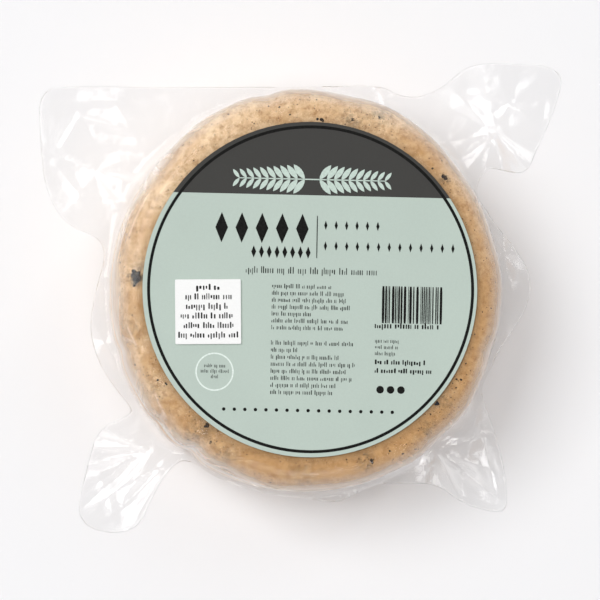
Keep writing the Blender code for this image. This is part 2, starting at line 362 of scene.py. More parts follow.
@dataclass(frozen=True)
class CheeseFinish:
    """Ivory to tan cheese with brown-grey truffle stains and fine dark grains, and painted shade: tan on the
    side away from the light and darker beside the label's edge.
    """

    cream: tuple = (0.90, 0.69, 0.455)
    tan: tuple = (0.58, 0.345, 0.15)
    deep: tuple = (0.35, 0.17, 0.056)
    # Painted shade: the dark colour laid beside the label's edge.
    painted_shade: tuple = (0.20, 0.115, 0.05)
    stain: tuple = (0.10, 0.072, 0.04)
    grain: tuple = (0.10, 0.05, 0.02)
    patch_size: float = 11.0 * MM
    patch_share: float = 0.7
    # Painted light and shade: how far the side away from the light turns from cream to tan.
    painted_side_shade_share: float = 0.78
    mottle_size: float = 2.0 * MM
    mottle_share: float = 0.85
    low_mottle_share: float = 0.5
    calm_below: float = 18.0 * MM
    full_above: float = 34.0 * MM
    # Painted shade: how strongly it darkens the cheese beside the label.
    painted_shade_share: float = 0.7
    cloud_size: float = 1.7 * MM
    grain_size: float = 1.15 * MM
    grain_reach: float = 0.17
    grain_rarity: float = 0.8
    grain_share: float = 0.8
    fine_size: float = 0.9 * MM
    fine_depth: float = 0.1 * MM

    def make(self) -> Material:
        """Mix the cheese's colours, from large patches down to single grains.

        Returns:
            The material.
        """
        look = Look("cheese")
        patches = look.between(look.noise(self.patch_size, 5.0, 0.65), 0.36, 0.66)
        patches = look.times(patches, self.patch_share)
        # Painted light and shade: cream on the lit upper left, tan on the shaded lower right.
        painted_side_shade = look.times(look.mark("painted_side_shade"), self.painted_side_shade_share)
        base = look.blend(look.sum("ADD", patches, painted_side_shade, clamp=True), self.cream, self.tan)
        mottle = look.between(look.noise(self.mottle_size, 7.0, 0.78), 0.44, 0.68)
        height = look.add("ShaderNodeSeparateXYZ", {0: look.place()}).outputs["Z"]
        low, high = self.low_mottle_share, self.mottle_share
        shown = look.between(height, self.calm_below, self.full_above, low, high)
        base = look.blend(look.times(mottle, shown), base, self.deep)
        # Painted shade beside the label's edge, strongest on the side away from the light.
        base = look.blend(look.times(look.mark("painted_shade"), self.painted_shade_share), base, self.painted_shade)
        cloud = look.between(look.noise(self.cloud_size, 6.0, 0.78), 0.42, 0.60)
        base = look.blend(look.times(look.mark("stain"), cloud, clamp=True), base, self.stain)
        links = {"Vector": look.place(), "Scale": 1.0 / self.grain_size, "Randomness": 1.0}
        cells = look.add("ShaderNodeTexVoronoi", links)
        chance = look.step("ShaderNodeSeparateColor", {0: cells.outputs["Color"]})
        chosen = look.sum("GREATER_THAN", chance, self.grain_rarity)
        dot = look.sum("LESS_THAN", cells.outputs["Distance"], self.grain_reach)
        grains = look.times(look.times(dot, chosen), self.grain_share)
        base = look.blend(grains, base, self.grain)
        fine = look.noise(self.fine_size, 5.0, 0.65)
        shader = look.add(
            "ShaderNodeBsdfPrincipled",
            {
                "Base Color": base,
                "Roughness": 0.55,
                "Specular IOR Level": 0.3,
                "Subsurface Weight": 0.1,
                "Subsurface Radius": (1.0, 0.55, 0.25),
                "Subsurface Scale": 1.0 * MM,
                "Normal": look.bump(fine, self.fine_depth),
            },
        )
        return look.finish(shader)


@dataclass(frozen=True)
class FilmFinish:
    """Thin clear film: see-through, with a gloss that grows at grazing angles and a faint milky haze."""

    gloss: float = 0.042
    pleat_gloss: float = 0.2
    edge_gloss: float = 0.62
    edge_power: float = 1.6
    haze: float = 0.004
    loose_roughness: float = 0.2
    tight_roughness: float = 0.36
    ripple_size: float = 1.5 * MM
    ripple_depth: float = 0.05 * MM

    def make(self) -> Material:
        """Let light through the film and add its gloss and haze.

        Returns:
            The material.
        """
        look = Look("clear_film")
        normal = look.bump(look.noise(self.ripple_size, 3.0, 0.55), self.ripple_depth)
        tight = look.mark("tight")
        pleated = look.mark("pleated")
        spread = look.times(tight, self.tight_roughness - self.loose_roughness)
        roughness = look.sum("ADD", spread, self.loose_roughness)
        clear = look.add("ShaderNodeBsdfTransparent", {"Color": (0.995, 0.995, 0.995, 1.0)})
        shine = look.add(
            "ShaderNodeBsdfGlossy", {"Color": (1.0, 1.0, 1.0, 1.0), "Roughness": roughness, "Normal": normal}
        )
        milk = look.add("ShaderNodeBsdfDiffuse", {"Color": (0.95, 0.95, 0.95, 1.0)})
        facing = look.add("ShaderNodeLayerWeight", {"Blend": 0.5, "Normal": normal}).outputs["Facing"]
        slant = look.sum("POWER", facing, self.edge_power)
        flat_on = look.sum("ADD", look.times(pleated, self.pleat_gloss - self.gloss), self.gloss)
        share = look.sum("ADD", look.times(slant, self.edge_gloss), flat_on, clamp=True)
        veil = look.add("ShaderNodeMixShader", {0: self.haze, 1: clear.outputs[0], 2: milk.outputs[0]})
        links = {0: share, 1: veil.outputs[0], 2: shine.outputs[0]}
        return look.finish(look.add("ShaderNodeMixShader", links))


@dataclass(frozen=True)
class PaperFinish:
    """Smooth label paper: one colour, and another above a straight line across the label."""

    name: str
    ground: tuple
    band: tuple | None = None
    band_from: float = 0.0
    turn: float = 0.0
    fibre_size: float = 0.5 * MM
    fibre_depth: float = 0.01 * MM
    fibre_share: float = 0.10
    cloud_size: float = 22.0 * MM
    cloud_share: float = 0.08
    darkest: float = 0.91

    def make(self) -> Material:
        """Colour the paper and give it fine fibres.

        Returns:
            The material.
        """
        look = Look(self.name)
        fibre = look.noise(self.fibre_size, 4.0, 0.6)
        cloud = look.noise(self.cloud_size, 2.0, 0.5)
        colour = look.blend(0.0, self.ground, self.ground)
        if self.band is not None:
            parts = look.add("ShaderNodeSeparateXYZ", {0: look.place()})
            along = look.times(parts.outputs["X"], -math.sin(self.turn))
            across = look.times(parts.outputs["Y"], math.cos(self.turn))
            above = look.sum("GREATER_THAN", look.sum("ADD", along, across), self.band_from)
            colour = look.blend(above, self.ground, self.band)
        fibres = look.times(fibre, self.fibre_share)
        clouds = look.times(cloud, self.cloud_share)
        shade = look.sum("ADD", look.sum("ADD", fibres, clouds), self.darkest)
        tint = look.step("ShaderNodeCombineXYZ", {0: shade, 1: shade, 2: shade})
        colour = look.step("ShaderNodeVectorMath", {0: colour, 1: tint}, operation="MULTIPLY")
        shader = look.add(
            "ShaderNodeBsdfPrincipled",
            {
                "Base Color": colour,
                "Roughness": 0.55,
                "Specular IOR Level": 0.15,
                "Normal": look.bump(fibre, self.fibre_depth),
            },
        )
        return look.finish(shader)


@dataclass(frozen=True)
class InkFinish:
    """Flat printing ink, a little uneven like a real print."""

    name: str
    colour: tuple
    roughness: float = 0.5

    def make(self) -> Material:
        """Colour the ink.

        Returns:
            The material.
        """
        look = Look(self.name)
        lighter = tuple(min(1.0, 1.25 * part + 0.01) for part in self.colour)
        colour = look.blend(look.between(look.noise(0.6 * MM, 3.0), 0.35, 0.9), self.colour, lighter)
        links = {"Base Color": colour, "Roughness": self.roughness, "Specular IOR Level": 0.1}
        return look.finish(look.add("ShaderNodeBsdfPrincipled", links))


@dataclass(frozen=True)
class TruffleFinish:
    """Blue-black truffle, rough and matt."""

    dark: tuple = (0.009, 0.010, 0.012)
    brown: tuple = (0.05, 0.03, 0.016)

    def make(self) -> Material:
        """Colour the truffle.

        Returns:
            The material.
        """
        look = Look("truffle")
        colour = look.blend(look.between(look.noise(3.0 * MM, 3.0), 0.48, 0.66), self.dark, self.brown)
        fine = look.noise(0.25 * MM, 3.0)
        links = {
            "Base Color": colour,
            "Roughness": 0.7,
            "Specular IOR Level": 0.15,
            "Normal": look.bump(fine, 0.03 * MM),
        }
        return look.finish(look.add("ShaderNodeBsdfPrincipled", links))


# Forms that several pieces share


@dataclass(frozen=True)
class Dent:
    """A press mark in the wheel's side: where it is, how wide it is and how deep."""

    degrees: float
    half_width: float
    depth: float


@dataclass(frozen=True)
class WheelForm:
    """The wheel's round, slightly uneven form."""

    radius: float = 55.0 * MM
    height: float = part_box("cheese_wheel")[1].z
    oval: float = 0.95 * MM
    lobes: float = 0.28 * MM
    shoulder_width: float = 8.0 * MM
    shoulder_rise: float = 12.0 * MM
    shoulder_fullness: float = 2.7
    foot_width: float = 6.0 * MM
    foot_rise: float = 8.0 * MM
    dimple: float = 0.3 * MM
    free_from: float = 28.0 * MM
    free_over: float = 6.0 * MM
    low_freedom: float = 0.25
    foot_clear: float = 3.0 * MM
    dents: tuple = (
        Dent(102.0, 3.0, 0.7 * MM),
        Dent(121.0, 4.0, -0.35 * MM),
        Dent(198.0, 2.6, 0.6 * MM),
        Dent(222.0, 2.6, 0.55 * MM),
        Dent(234.5, 3.0, 1.4 * MM),
        Dent(304.0, 5.0, -0.45 * MM),
        Dent(342.0, 3.4, 0.6 * MM),
    )

    def side(self, angle: np.ndarray) -> np.ndarray:
        """Return the side's radius at these angles in radians.

        Args:
            angle: the angles, in radians.

        Returns:
            The radius at each angle.
        """
        radius = self.radius + self.oval * np.cos(2.0 * (angle - math.pi / 2.0))
        radius = radius + self.lobes * np.cos(3.0 * (angle + 0.5))
        radius = radius + 0.5 * self.lobes * np.cos(6.0 * (angle + 0.24))
        for dent in self.dents:
            radius = radius - dent.depth * bell(turn_gap(np.degrees(angle), dent.degrees), dent.half_width)
        return radius

    def inset(self, height: np.ndarray) -> np.ndarray:
        """Return how far the rounded shoulder and foot draw in at these heights.

        Args:
            height: the heights.

        Returns:
            The distance at each height.
        """
        up = np.clip((height - (self.height - self.shoulder_rise)) / self.shoulder_rise, 0.0, 1.0)
        down = np.clip((self.foot_rise - height) / self.foot_rise, 0.0, 1.0)
        power = self.shoulder_fullness
        shoulder = self.shoulder_width * (1.0 - (1.0 - up**power) ** (1.0 / power))
        return shoulder + self.foot_width * (1.0 - np.sqrt(1.0 - down**2))

    def relief(self, angle: np.ndarray, height: np.ndarray) -> np.ndarray:
        """Return how far the soft upper rim stands above or below its smooth form.

        Args:
            angle: the angles, in radians.
            height: the heights.

        Returns:
            The distance at each place, outward.
        """
        share = np.clip((height - (self.height - self.shoulder_rise)) / self.shoulder_rise, 0.0, 1.0)
        wave = np.sin(7.0 * angle + 0.6) + 0.7 * np.sin(11.0 * angle + 2.1) + 0.5 * np.sin(17.0 * angle)
        return self.dimple * 4.0 * share * (1.0 - share) * wave

    def at(self, angle: np.ndarray, height: np.ndarray) -> np.ndarray:
        """Return the wheel's radius at these angles and heights."""
        return self.side(angle) - self.inset(height) + self.relief(angle, height)

    def freedom(self, height: float) -> float:
        """Return how far the soft relief is let out at a height: little below, full on the shoulder."""
        climb = min(1.0, max(0.0, (height - self.free_from) / self.free_over))
        return min(1.0, height / self.foot_clear) * (self.low_freedom + (1.0 - self.low_freedom) * climb)

    def slope(self, height: np.ndarray) -> np.ndarray:
        """Return the upward part of the surface's normal at these heights, from -1 to 1.

        Args:
            height: the heights.

        Returns:
            The upward part at each height.
        """
        step = 0.05 * MM
        drop = (self.inset(height + step) - self.inset(height - step)) / (2.0 * step)
        return drop / np.sqrt(1.0 + drop**2)


@dataclass(frozen=True)
class Skirt:
    """A stretch of film between two flaps, which stands out most at its peak."""

    start: float
    end: float
    peak: float
    half_width: float
    reach: float


@dataclass(frozen=True)
class Flap:
    """A corner of the flat bag: its outline in millimetres, and how far its tip lifts or droops."""

    outline: tuple
    middle: float
    half_width: float
    lift: float
    tent_middle: float
    tent_half_width: float
    tent_rise: float


@dataclass(frozen=True)
class Crease:
    """A straight fold in the film, in millimetres: a ridge, or a valley where its strength is negative."""

    start: tuple
    end: tuple
    strength: float
    half_width: float = 2.2


@dataclass(frozen=True)
class Fan:
    """Folds that spread from one point of the film: each ray's direction in degrees and its slope."""

    centre: tuple
    reach: float
    rays: tuple
    fade: float = 2.6

    def height(self, places: np.ndarray) -> np.ndarray:
        """Return how far these folds raise the film at these places.

        Args:
            places: the places seen from above, one row each.

        Returns:
            The rise at each place.
        """
        away = places - np.array(self.centre) * MM
        distance = np.hypot(away[:, 0], away[:, 1])
        degrees = np.degrees(np.arctan2(away[:, 1], away[:, 0]))
        turns, slopes = zip(*self.rays)
        slope = np.interp(degrees, turns, slopes, period=360.0)
        reach = self.reach * MM
        return slope * reach * np.tanh(distance / reach) * bell(distance, self.fade * reach)


def crumple(centre: tuple, reach: float, count: int, slope: float, seed: int) -> Fan:
    """Make a fan of random folds.

    Args:
        centre: the point that the folds spread from, in millimetres.
        reach: how far they keep their slope, in millimetres.
        count: how many rays there are.
        slope: the largest slope of a ray.
        seed: the fixed seed.

    Returns:
        The fan.
    """
    draw = random.Random(seed)
    rays = []
    for number in range(count):
        degrees = -180.0 + 360.0 * (number + draw.uniform(0.15, 0.85)) / count
        side = 1.0 if number % 2 else -1.0
        rays.append((degrees, side * slope * draw.uniform(0.35, 1.0)))
    return Fan(centre, reach, tuple(rays))


@dataclass(frozen=True)
class BagForm:
    """The film's form where it stands clear of the wheel: its edge, height, folds and tents."""

    wheel: WheelForm
    film_height: float = 20.0 * MM
    wave: float = 0.5 * MM
    skirt_foot: float = 1.6 * MM
    gap: float = 0.3 * MM
    cling: float = 0.14 * MM
    crease_rise: float = 0.42 * MM
    smoothing_rounds: int = 2
    flap_calm: float = 0.9
    free_reach: float = 6.0 * MM
    fan_start: float = 1.8 * MM
    tent_least: float = 1.0 * MM
    tent_length: float = 1.5 * MM
    tent_spread: float = 0.9
    lower_tent: float = 0.85
    right_skirt: Skirt = Skirt(-28.0, 31.0, 2.5, 14.0, 8.6 * MM)
    top_skirt: Skirt = Skirt(68.0, 96.0, 66.0, 12.0, 5.0 * MM)
    left_skirt: Skirt = Skirt(170.0, 214.0, 194.0, 17.0, 5.2 * MM)
    lower_skirt: Skirt = Skirt(237.0, 291.0, 279.0, 5.0, 2.2 * MM)
    top_right: Flap = Flap(
        ((51.5, 35.5), (55, 35), (62.5, 33), (66.5, 42), (70.5, 51), (74, 63.5), (57, 65), (46, 64.5),
         (39.5, 58), (32, 55), (26, 56)),
        45.0, 13.0, 2.5 * MM, 44.0, 9.0, 2.6 * MM,
    )
    top_left: Flap = Flap(
        ((-10, 58), (-38, 57.5), (-64, 58), (-74.5, 57), (-74, 42), (-72.5, 28), (-66.5, 18.5), (-57, 15.2)),
        142.0, 16.0, -1.0 * MM, 146.0, 16.0, 2.4 * MM,
    )
    lower_left: Flap = Flap(
        ((-49, -34.5), (-57.5, -38), (-60.5, -48), (-64.5, -65.5), (-47, -68.5), (-41.5, -55), (-35.5, -47)),
        225.0, 11.0, -2.5 * MM, 223.0, 8.0, 2.4 * MM,
    )
    lower_right: Flap = Flap(
        ((23, -53.4), (30, -53.5), (37.5, -53.6), (45, -59.5), (57, -62.5), (57.5, -55), (55, -42),
         (50.5, -30)),
        313.0, 11.0, 1.0 * MM, 322.0, 7.0, 3.0 * MM,
    )
    creases: tuple = (
        Crease((54, 45.4), (43.5, 39.8), 1.8),
        Crease((54, 45.4), (62.6, 35), 2),
        Crease((54, 45.4), (48.2, 56), 1.2),
        Crease((-60.5, 55), (-43, 52), 0.8, 3),
        Crease((-68.1, 40.9), (-62.9, 49.3), 0.8, 1),
        Crease((-62.9, 49.3), (-51.7, 46.5), 0.8, 1),
        Crease((-60, 39.2), (-46, 39), -0.7),
        Crease((-69.5, 36), (-61, 24), 0.8),
        Crease((-44.9, -43.3), (-57.3, -43.3), 1.7),
        Crease((-44.9, -43.3), (-52.5, -53), -1.5),
        Crease((-39, -49), (-48, -65), 1.6),
        Crease((37, -45), (43.4, -57), 1.6),
        Crease((39.5, -44.5), (53.3, -57), -1.6),
        Crease((50.2, -33), (54.5, -52), 1.7),
        Crease((51.5, 56.5), (63, 50), 0.5, 1.6),
        Crease((52, 50), (62, 56.5), -0.5, 1.6),
        Crease((51.4, 35.6), (53.4, 44), 0.6, 1.4),
        Crease((69, 46.8), (69.5, 53), 0.45, 1.3),
        Crease((66.5, 45), (68.2, 55), -0.3, 1.3),
        Crease((-73, 41.3), (-66, 37), 0.7, 1.8),
        Crease((-50.8, 30.8), (-52.6, 19), 0.8, 1.8),
        Crease((-57.5, 45), (-46, 43), -0.6, 1.8),
        Crease((-66, 53), (-50, 54.5), 0.5, 2.2),
        Crease((-43.2, -48.1), (-50.5, -57.1), 0.9, 1.8),
        Crease((-52.5, -61.8), (-43.2, -56.2), -0.5, 1.8),
        Crease((-58, -50), (-53, -62), 0.5, 2.2),
        Crease((-41.5, -44.5), (-55, -58), 0.5, 1.4),
        Crease((40.1, -40.5), (46.6, -40.5), 0.8, 1.8),
        Crease((48.3, -33), (49, -45.3), -0.7, 1.6),
        Crease((49, -45.3), (53.1, -55.1), -0.7, 1.6),
        Crease((35.6, -45), (33.7, -51.5), 0.8, 2),
        Crease((45, -57), (54, -60), 0.4, 1.6),
    )
    fans: tuple = (
        Fan(
            (54, 45.4), 13,
            ((-168, -0.03), (-152, -0.19), (-141, -0.15), (-128, 0), (-78, 0.02), (-65, 0.20), (-41, 0.27),
             (-28, 0.05), (10, 0.05), (60, -0.02), (100, -0.04), (117, -0.19), (133, -0.24), (152, -0.04)),
        ),
        Fan(
            (-62.3, 49.1), 6,
            ((-180, -0.03), (-118, 0.10), (-60, -0.02), (-16, 0.12), (40, 0), (120, -0.04)),
        ),
        Fan(
            (-58.7, 33.9), 7,
            ((-160, -0.18), (-140, -0.10), (-124, -0.02), (-76, -0.03), (-61, 0.04), (-49, 0.18),
             (-15, 0.20), (-2, 0.02), (22, 0.04), (48, -0.03), (90, 0.02), (146, -0.02), (157, -0.18),
             (180, -0.20)),
        ),
        Fan(
            (-43.8, -44.3), 11,
            ((-180, -0.28), (-167, -0.24), (-156, -0.06), (-147, -0.06), (-139, -0.14), (-130, -0.02),
             (-60, 0.03), (60, 0.02), (154, -0.04), (165, -0.27)),
        ),
        Fan(
            (-36.8, -47.3), 12,
            ((-152, 0.04), (-138, -0.12), (-121, -0.05), (-111, 0.06), (-60, 0.02), (60, 0), (150, 0.02)),
        ),
        Fan(
            (37, -44), 12,
            ((-162, -0.03), (-149, -0.19), (-108, -0.37), (-97, -0.06), (-64, 0.13), (-50, 0), (-37, -0.12),
             (-20, 0.10), (14, -0.06), (30, 0.08), (90, 0), (150, 0)),
        ),
        Fan(
            (48.8, -33.5), 13,
            ((-160, 0), (-101, -0.02), (-89, 0.11), (-78, 0.16), (-69, 0), (-50, 0.11), (0, 0),
             (60, 0.03)),
        ),
        crumple((58, 53.2), 4, 9, 0.14, 4),
        crumple((-53, 52.8), 6, 5, 0.12, 5),
        crumple((56.4, 11.5), 4, 9, 0.30, 3),
        crumple((57.5, -15), 4, 7, 0.22, 15),
        crumple((-57.5, 4), 4, 7, 0.16, 21),
        crumple((-56, -14), 4, 7, 0.20, 22),
        crumple((23, 55), 4, 7, 0.16, 27),
        crumple((10, -57), 3, 9, 0.30, 31),
        crumple((-12, -56.5), 3, 9, 0.30, 33),
    )

    def edge(self) -> tuple:
        """Return the stretches of the bag's edge, counter-clockwise."""
        return (
            self.right_skirt, self.top_right, self.top_skirt, self.top_left,
            self.left_skirt, self.lower_left, self.lower_skirt, self.lower_right,
        )

    def flaps(self) -> tuple:
        """Return the four corner flaps."""
        return (self.top_right, self.top_left, self.lower_left, self.lower_right)

    def skirt_points(self, skirt: Skirt) -> list[Vector]:
        """Return the outline of one stretch of skirt, standing out from the wheel's side.

        Args:
            skirt: the stretch of skirt.

        Returns:
            The points, counter-clockwise.
        """
        count = max(2, round((skirt.end - skirt.start) / 6.0))
        degrees = skirt.start + (skirt.end - skirt.start) * np.arange(count + 1) / count
        reach = self.skirt_foot + skirt.reach * bell(turn_gap(degrees, skirt.peak), skirt.half_width)
        angle = np.radians(degrees)
        return [Vector(point) for point in on_circle(angle, self.wheel.side(angle) + self.gap + reach)]

    def outline(self, spacing: float) -> list[Vector]:
        """Return the bag's outer edge seen from above.

        Args:
            spacing: the distance between neighbouring points.

        Returns:
            The points, counter-clockwise.
        """
        points = []
        for stretch in self.edge():
            if isinstance(stretch, Skirt):
                points.extend(self.skirt_points(stretch))
            else:
                points.extend(Vector((x * MM, y * MM)) for x, y in stretch.outline)
        for _ in range(self.smoothing_rounds):
            cut = []
            for here, after in zip(points, points[1:] + points[:1]):
                cut.append(here.lerp(after, 0.25))
                cut.append(here.lerp(after, 0.75))
            points = cut
        lengths = [(b - a).length for a, b in zip(points, points[1:] + points[:1])]
        count = round(sum(lengths) / spacing)
        stride = sum(lengths) / count
        result = []
        walked = target = 0.0
        for start, end, length in zip(points, points[1:] + points[:1], lengths):
            while target < walked + length and len(result) < count:
                result.append(start.lerp(end, (target - walked) / length))
                target += stride
            walked += length
        return result

    def reach(self, places: np.ndarray) -> np.ndarray:
        """Return how far these places lie outside the wheel's side."""
        angle = np.arctan2(places[:, 1], places[:, 0])
        return np.maximum(0.0, np.hypot(places[:, 0], places[:, 1]) - self.wheel.side(angle))

    def height(self, places: np.ndarray) -> np.ndarray:
        """Return the film's height at these places: its root, the flaps' lift, its waves and folds.

        Args:
            places: the places seen from above, one row each.

        Returns:
            The height at each place.
        """
        angle = np.arctan2(places[:, 1], places[:, 0])
        reach = self.reach(places)
        height = np.full(len(places), self.film_height)
        calm = np.ones(len(places))
        for flap in self.flaps():
            turned = bell(turn_gap(np.degrees(angle), flap.middle), 2.0 * flap.half_width)
            height += flap.lift * turned * reach / (0.5 * self.wheel.radius)
            calm *= 1.0 - self.flap_calm * turned
        free = np.minimum(1.0, reach / self.free_reach)
        wave = np.sin(9.0 * angle + 0.4) + 0.6 * np.sin(16.0 * angle + 1.7)
        height += self.wave * (0.3 + 0.7 * free) * calm * wave
        for fan in self.fans:
            height += np.minimum(1.0, reach / self.fan_start) * fan.height(places)
        for crease in self.creases:
            start = np.array(crease.start) * MM
            along = np.array(crease.end) * MM - start
            share = np.clip(((places - start) @ along) / (along @ along), 0.0, 1.0)
            away = np.linalg.norm(places - (start + share[:, None] * along), axis=1)
            taper = 0.35 + 0.65 * np.sin(math.pi * (0.15 + 0.7 * share))
            ridge = np.maximum(0.0, 1.0 - away / (crease.half_width * MM))
            height += crease.strength * self.crease_rise * taper * free * ridge
        return height

    def tent(self, places: np.ndarray) -> np.ndarray:
        """Return how far the upper film stands above the middle where it tents from the wheel's side.

        Args:
            places: the places seen from above, one row each.

        Returns:
            The rise at each place.
        """
        angle = np.degrees(np.arctan2(places[:, 1], places[:, 0]))
        rise = np.full(len(places), self.tent_least)
        for flap in self.flaps():
            rise += flap.tent_rise * bell(turn_gap(angle, flap.tent_middle), flap.tent_half_width)
        length = self.tent_length + self.tent_spread * rise
        return rise * np.maximum(0.0, 1.0 - self.reach(places) / length) ** 2.0


# The cheese


@dataclass(frozen=True)
class Stain:
    """A grey-brown cloud of fine truffle in the cheese: where on the rim, in degrees and millimetres."""

    degrees: float
    from_centre: float
    half_width: float
    darkness: float


@dataclass
class CheeseWheel:
    """The bare cheese, with its soft uneven surface."""

    form: WheelForm
    steps: int = 400
    shoulder_rings: int = 30
    side_rings: int = 12
    foot_rings: int = 12
    lifted: float = 0.12 * MM
    dip_depth: float = 0.65 * MM
    dip_size: float = 8.0 * MM
    pit_depth: float = 0.16 * MM
    pit_size: float = 1.9 * MM
    stains: tuple = (
        Stain(68, 52, 2.6, 0.8),
        Stain(76, 48.6, 3.2, 0.7),
        Stain(176.4, 48.4, 1.7, 2.2),
        Stain(174, 46.8, 3.2, 0.6),
        Stain(193, 50, 4, 0.35),
        Stain(212.3, 50.5, 4, 0.4),
        Stain(232, 50, 4.2, 0.7),
        Stain(243, 51.5, 3.4, 0.6),
        Stain(268, 51, 4.6, 0.45),
        Stain(288, 50, 2.6, 1),
        Stain(310, 50.5, 3.2, 0.5),
        Stain(320, 47.6, 3.6, 0.7),
        Stain(39.5, 48.8, 1.5, 1.2),
    )
    # The angle of the lit side, where the painted light leaves the cheese palest.
    palest: float = 126.0
    # Painted shade beside the label's edge: how far it reaches, and its strength on the lit side and on the
    # shaded side.
    painted_shade_reach: float = 1.4 * MM
    painted_shade_least: float = 0.35
    painted_shade_most: float = 1.0
    seed: float = 3.0

    def rings(self) -> np.ndarray:
        """Return the heights of the rings between the flat foot and the flat top.

        Returns:
            The heights, from the foot up.
        """
        low, side_top = self.form.foot_rise, self.form.height - self.form.shoulder_rise
        foot = low * (1.0 - np.cos(0.5 * math.pi * np.arange(self.foot_rings) / self.foot_rings))
        side = low + (side_top - low) * np.arange(self.side_rings) / self.side_rings
        turn = 0.5 * math.pi * np.arange(self.shoulder_rings + 1) / self.shoulder_rings
        return np.concatenate([foot, side, side_top + self.form.shoulder_rise * np.sin(turn)])

    def build_body(self) -> Piece:
        """Return the smooth wheel, closed below and above.

        Returns:
            The wheel, which stores how freely each of its points may move.
        """
        angle = 2.0 * math.pi * np.arange(self.steps) / self.steps
        points = []
        free = []
        for share in (0.35, 0.7):
            radius = share * (self.form.side(angle) - self.form.foot_width)
            points.append(np.column_stack([on_circle(angle, radius), np.full(self.steps, self.lifted)]))
            free.append(np.zeros(self.steps))
        for height in self.rings():
            flat = on_circle(angle, self.form.at(angle, np.full(self.steps, height)))
            points.append(np.column_stack([flat, np.full(self.steps, max(height, self.lifted))]))
            free.append(np.full(self.steps, self.form.freedom(height)))
        for share in (0.97, 0.92, 0.8, 0.5, 0.2):
            radius = share * (self.form.side(angle) - self.form.shoulder_width)
            points.append(np.column_stack([on_circle(angle, radius), np.full(self.steps, self.form.height)]))
            free.append(np.full(self.steps, 1.0 if share > 0.95 else 0.0))
        rings = len(points)
        whole = np.concatenate(points + [np.array([[0, 0, self.lifted], [0, 0, self.form.height]])])
        faces = ring_faces(rings, self.steps)
        last = (rings - 1) * self.steps
        for step in range(self.steps):
            after = (step + 1) % self.steps
            faces.append((after, step, rings * self.steps))
            faces.append((last + step, last + after, rings * self.steps + 1))
        piece = new_piece("cheese_body", whole, faces)
        mark_points(piece, "free", np.concatenate(free + [np.zeros(2)]))
        return piece

    def relief_tree(self) -> bpy.types.NodeTree:
        """Return the tree that presses soft dips and small pits into the cheese.

        Returns:
            The tree.
        """
        draft = NodeDraft("cheese_relief")
        dips, dip_size, pits, pit_size, seed = draft.numbers(
            "Dip depth", "Dip size", "Pit depth", "Pit size", "Seed"
        )
        depth = None
        for size, amount in ((dip_size, dips), (pit_size, pits)):
            noise = draft.add(
                "ShaderNodeTexNoise",
                {"W": seed, "Scale": draft.sum("DIVIDE", 1.0, size), "Detail": 2.0, "Roughness": 0.5},
                noise_dimensions="4D",
            )
            cut = draft.times(draft.sum("SUBTRACT", 0.5, noise.outputs[0]), amount)
            depth = cut if depth is None else draft.sum("ADD", depth, cut)
        depth = draft.times(draft.times(depth, -1.0), draft.attribute("free"))
        normal = draft.step("GeometryNodeInputNormal")
        offset = draft.step("ShaderNodeVectorMath", {0: normal, "Scale": depth}, operation="SCALE")
        moved = draft.step("GeometryNodeSetPosition", {"Geometry": draft.start, "Offset": offset})
        return draft.end(moved)

    def relief_values(self, finish: Material) -> dict[str, object]:
        """Return the inputs of the relief's tree.

        Args:
            finish: the material of the piece.

        Returns:
            The inputs by name.
        """
        dips = {"Dip depth": self.dip_depth, "Dip size": self.dip_size}
        pits = {"Pit depth": self.pit_depth, "Pit size": self.pit_size}
        return {**dips, **pits, "Seed": self.seed, "Finish": finish}

    def stain_points(self, piece: Piece) -> None:
        """Store how strongly fine truffle stains each point of the cheese, and the painted shade there: on
        the side away from the light and beside the label's edge.

        Args:
            piece: the finished wheel.
        """
        places = np.array([vertex.co for vertex in piece.data.vertices])
        total = np.zeros(len(places))
        for stain in self.stains:
            angle = math.radians(stain.degrees)
            centre = stain.from_centre * MM * np.array([math.cos(angle), math.sin(angle)])
            away = np.linalg.norm(places[:, :2] - centre, axis=1)
            total += stain.darkness * bell(away, stain.half_width * MM)
        mark_points(piece, "stain", total * (places[:, 2] > 0.5 * self.form.height))
        # Painted light and shade: 0 on the lit side, rising to 1 on the side away from the light.
        turned = np.arctan2(places[:, 1], places[:, 0]) - math.radians(self.palest)
        mark_points(piece, "painted_side_shade", 0.5 - 0.5 * np.cos(turned))
        # Painted shade just outside the label's edge, stronger on the side away from the light.
        from_label = np.hypot(places[:, 0], places[:, 1]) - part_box("round_label")[1].x
        share = self.painted_shade_least + 0.5 * (self.painted_shade_most - self.painted_shade_least) * (1.0 - np.cos(turned))
        near = np.where(from_label > 0.0, bell(from_label, self.painted_shade_reach), 1.0)
        mark_points(piece, "painted_shade", share * near)

    def build(self) -> Piece:
        """Return the finished cheese.

        Returns:
            The cheese as one piece.
        """
        piece = self.build_body()
        grow(piece, self.relief_tree(), self.relief_values(CheeseFinish().make()))
        piece.data.shade_smooth()
        self.stain_points(piece)
        settle(piece, "cheese", "cheese_wheel")
        return piece


@dataclass(frozen=True)
class Fleck:
    """A truffle piece that shows: where on the rim, in degrees and millimetres, its size and its bits."""

    degrees: float
    from_centre: float
    size: float
    bits: int


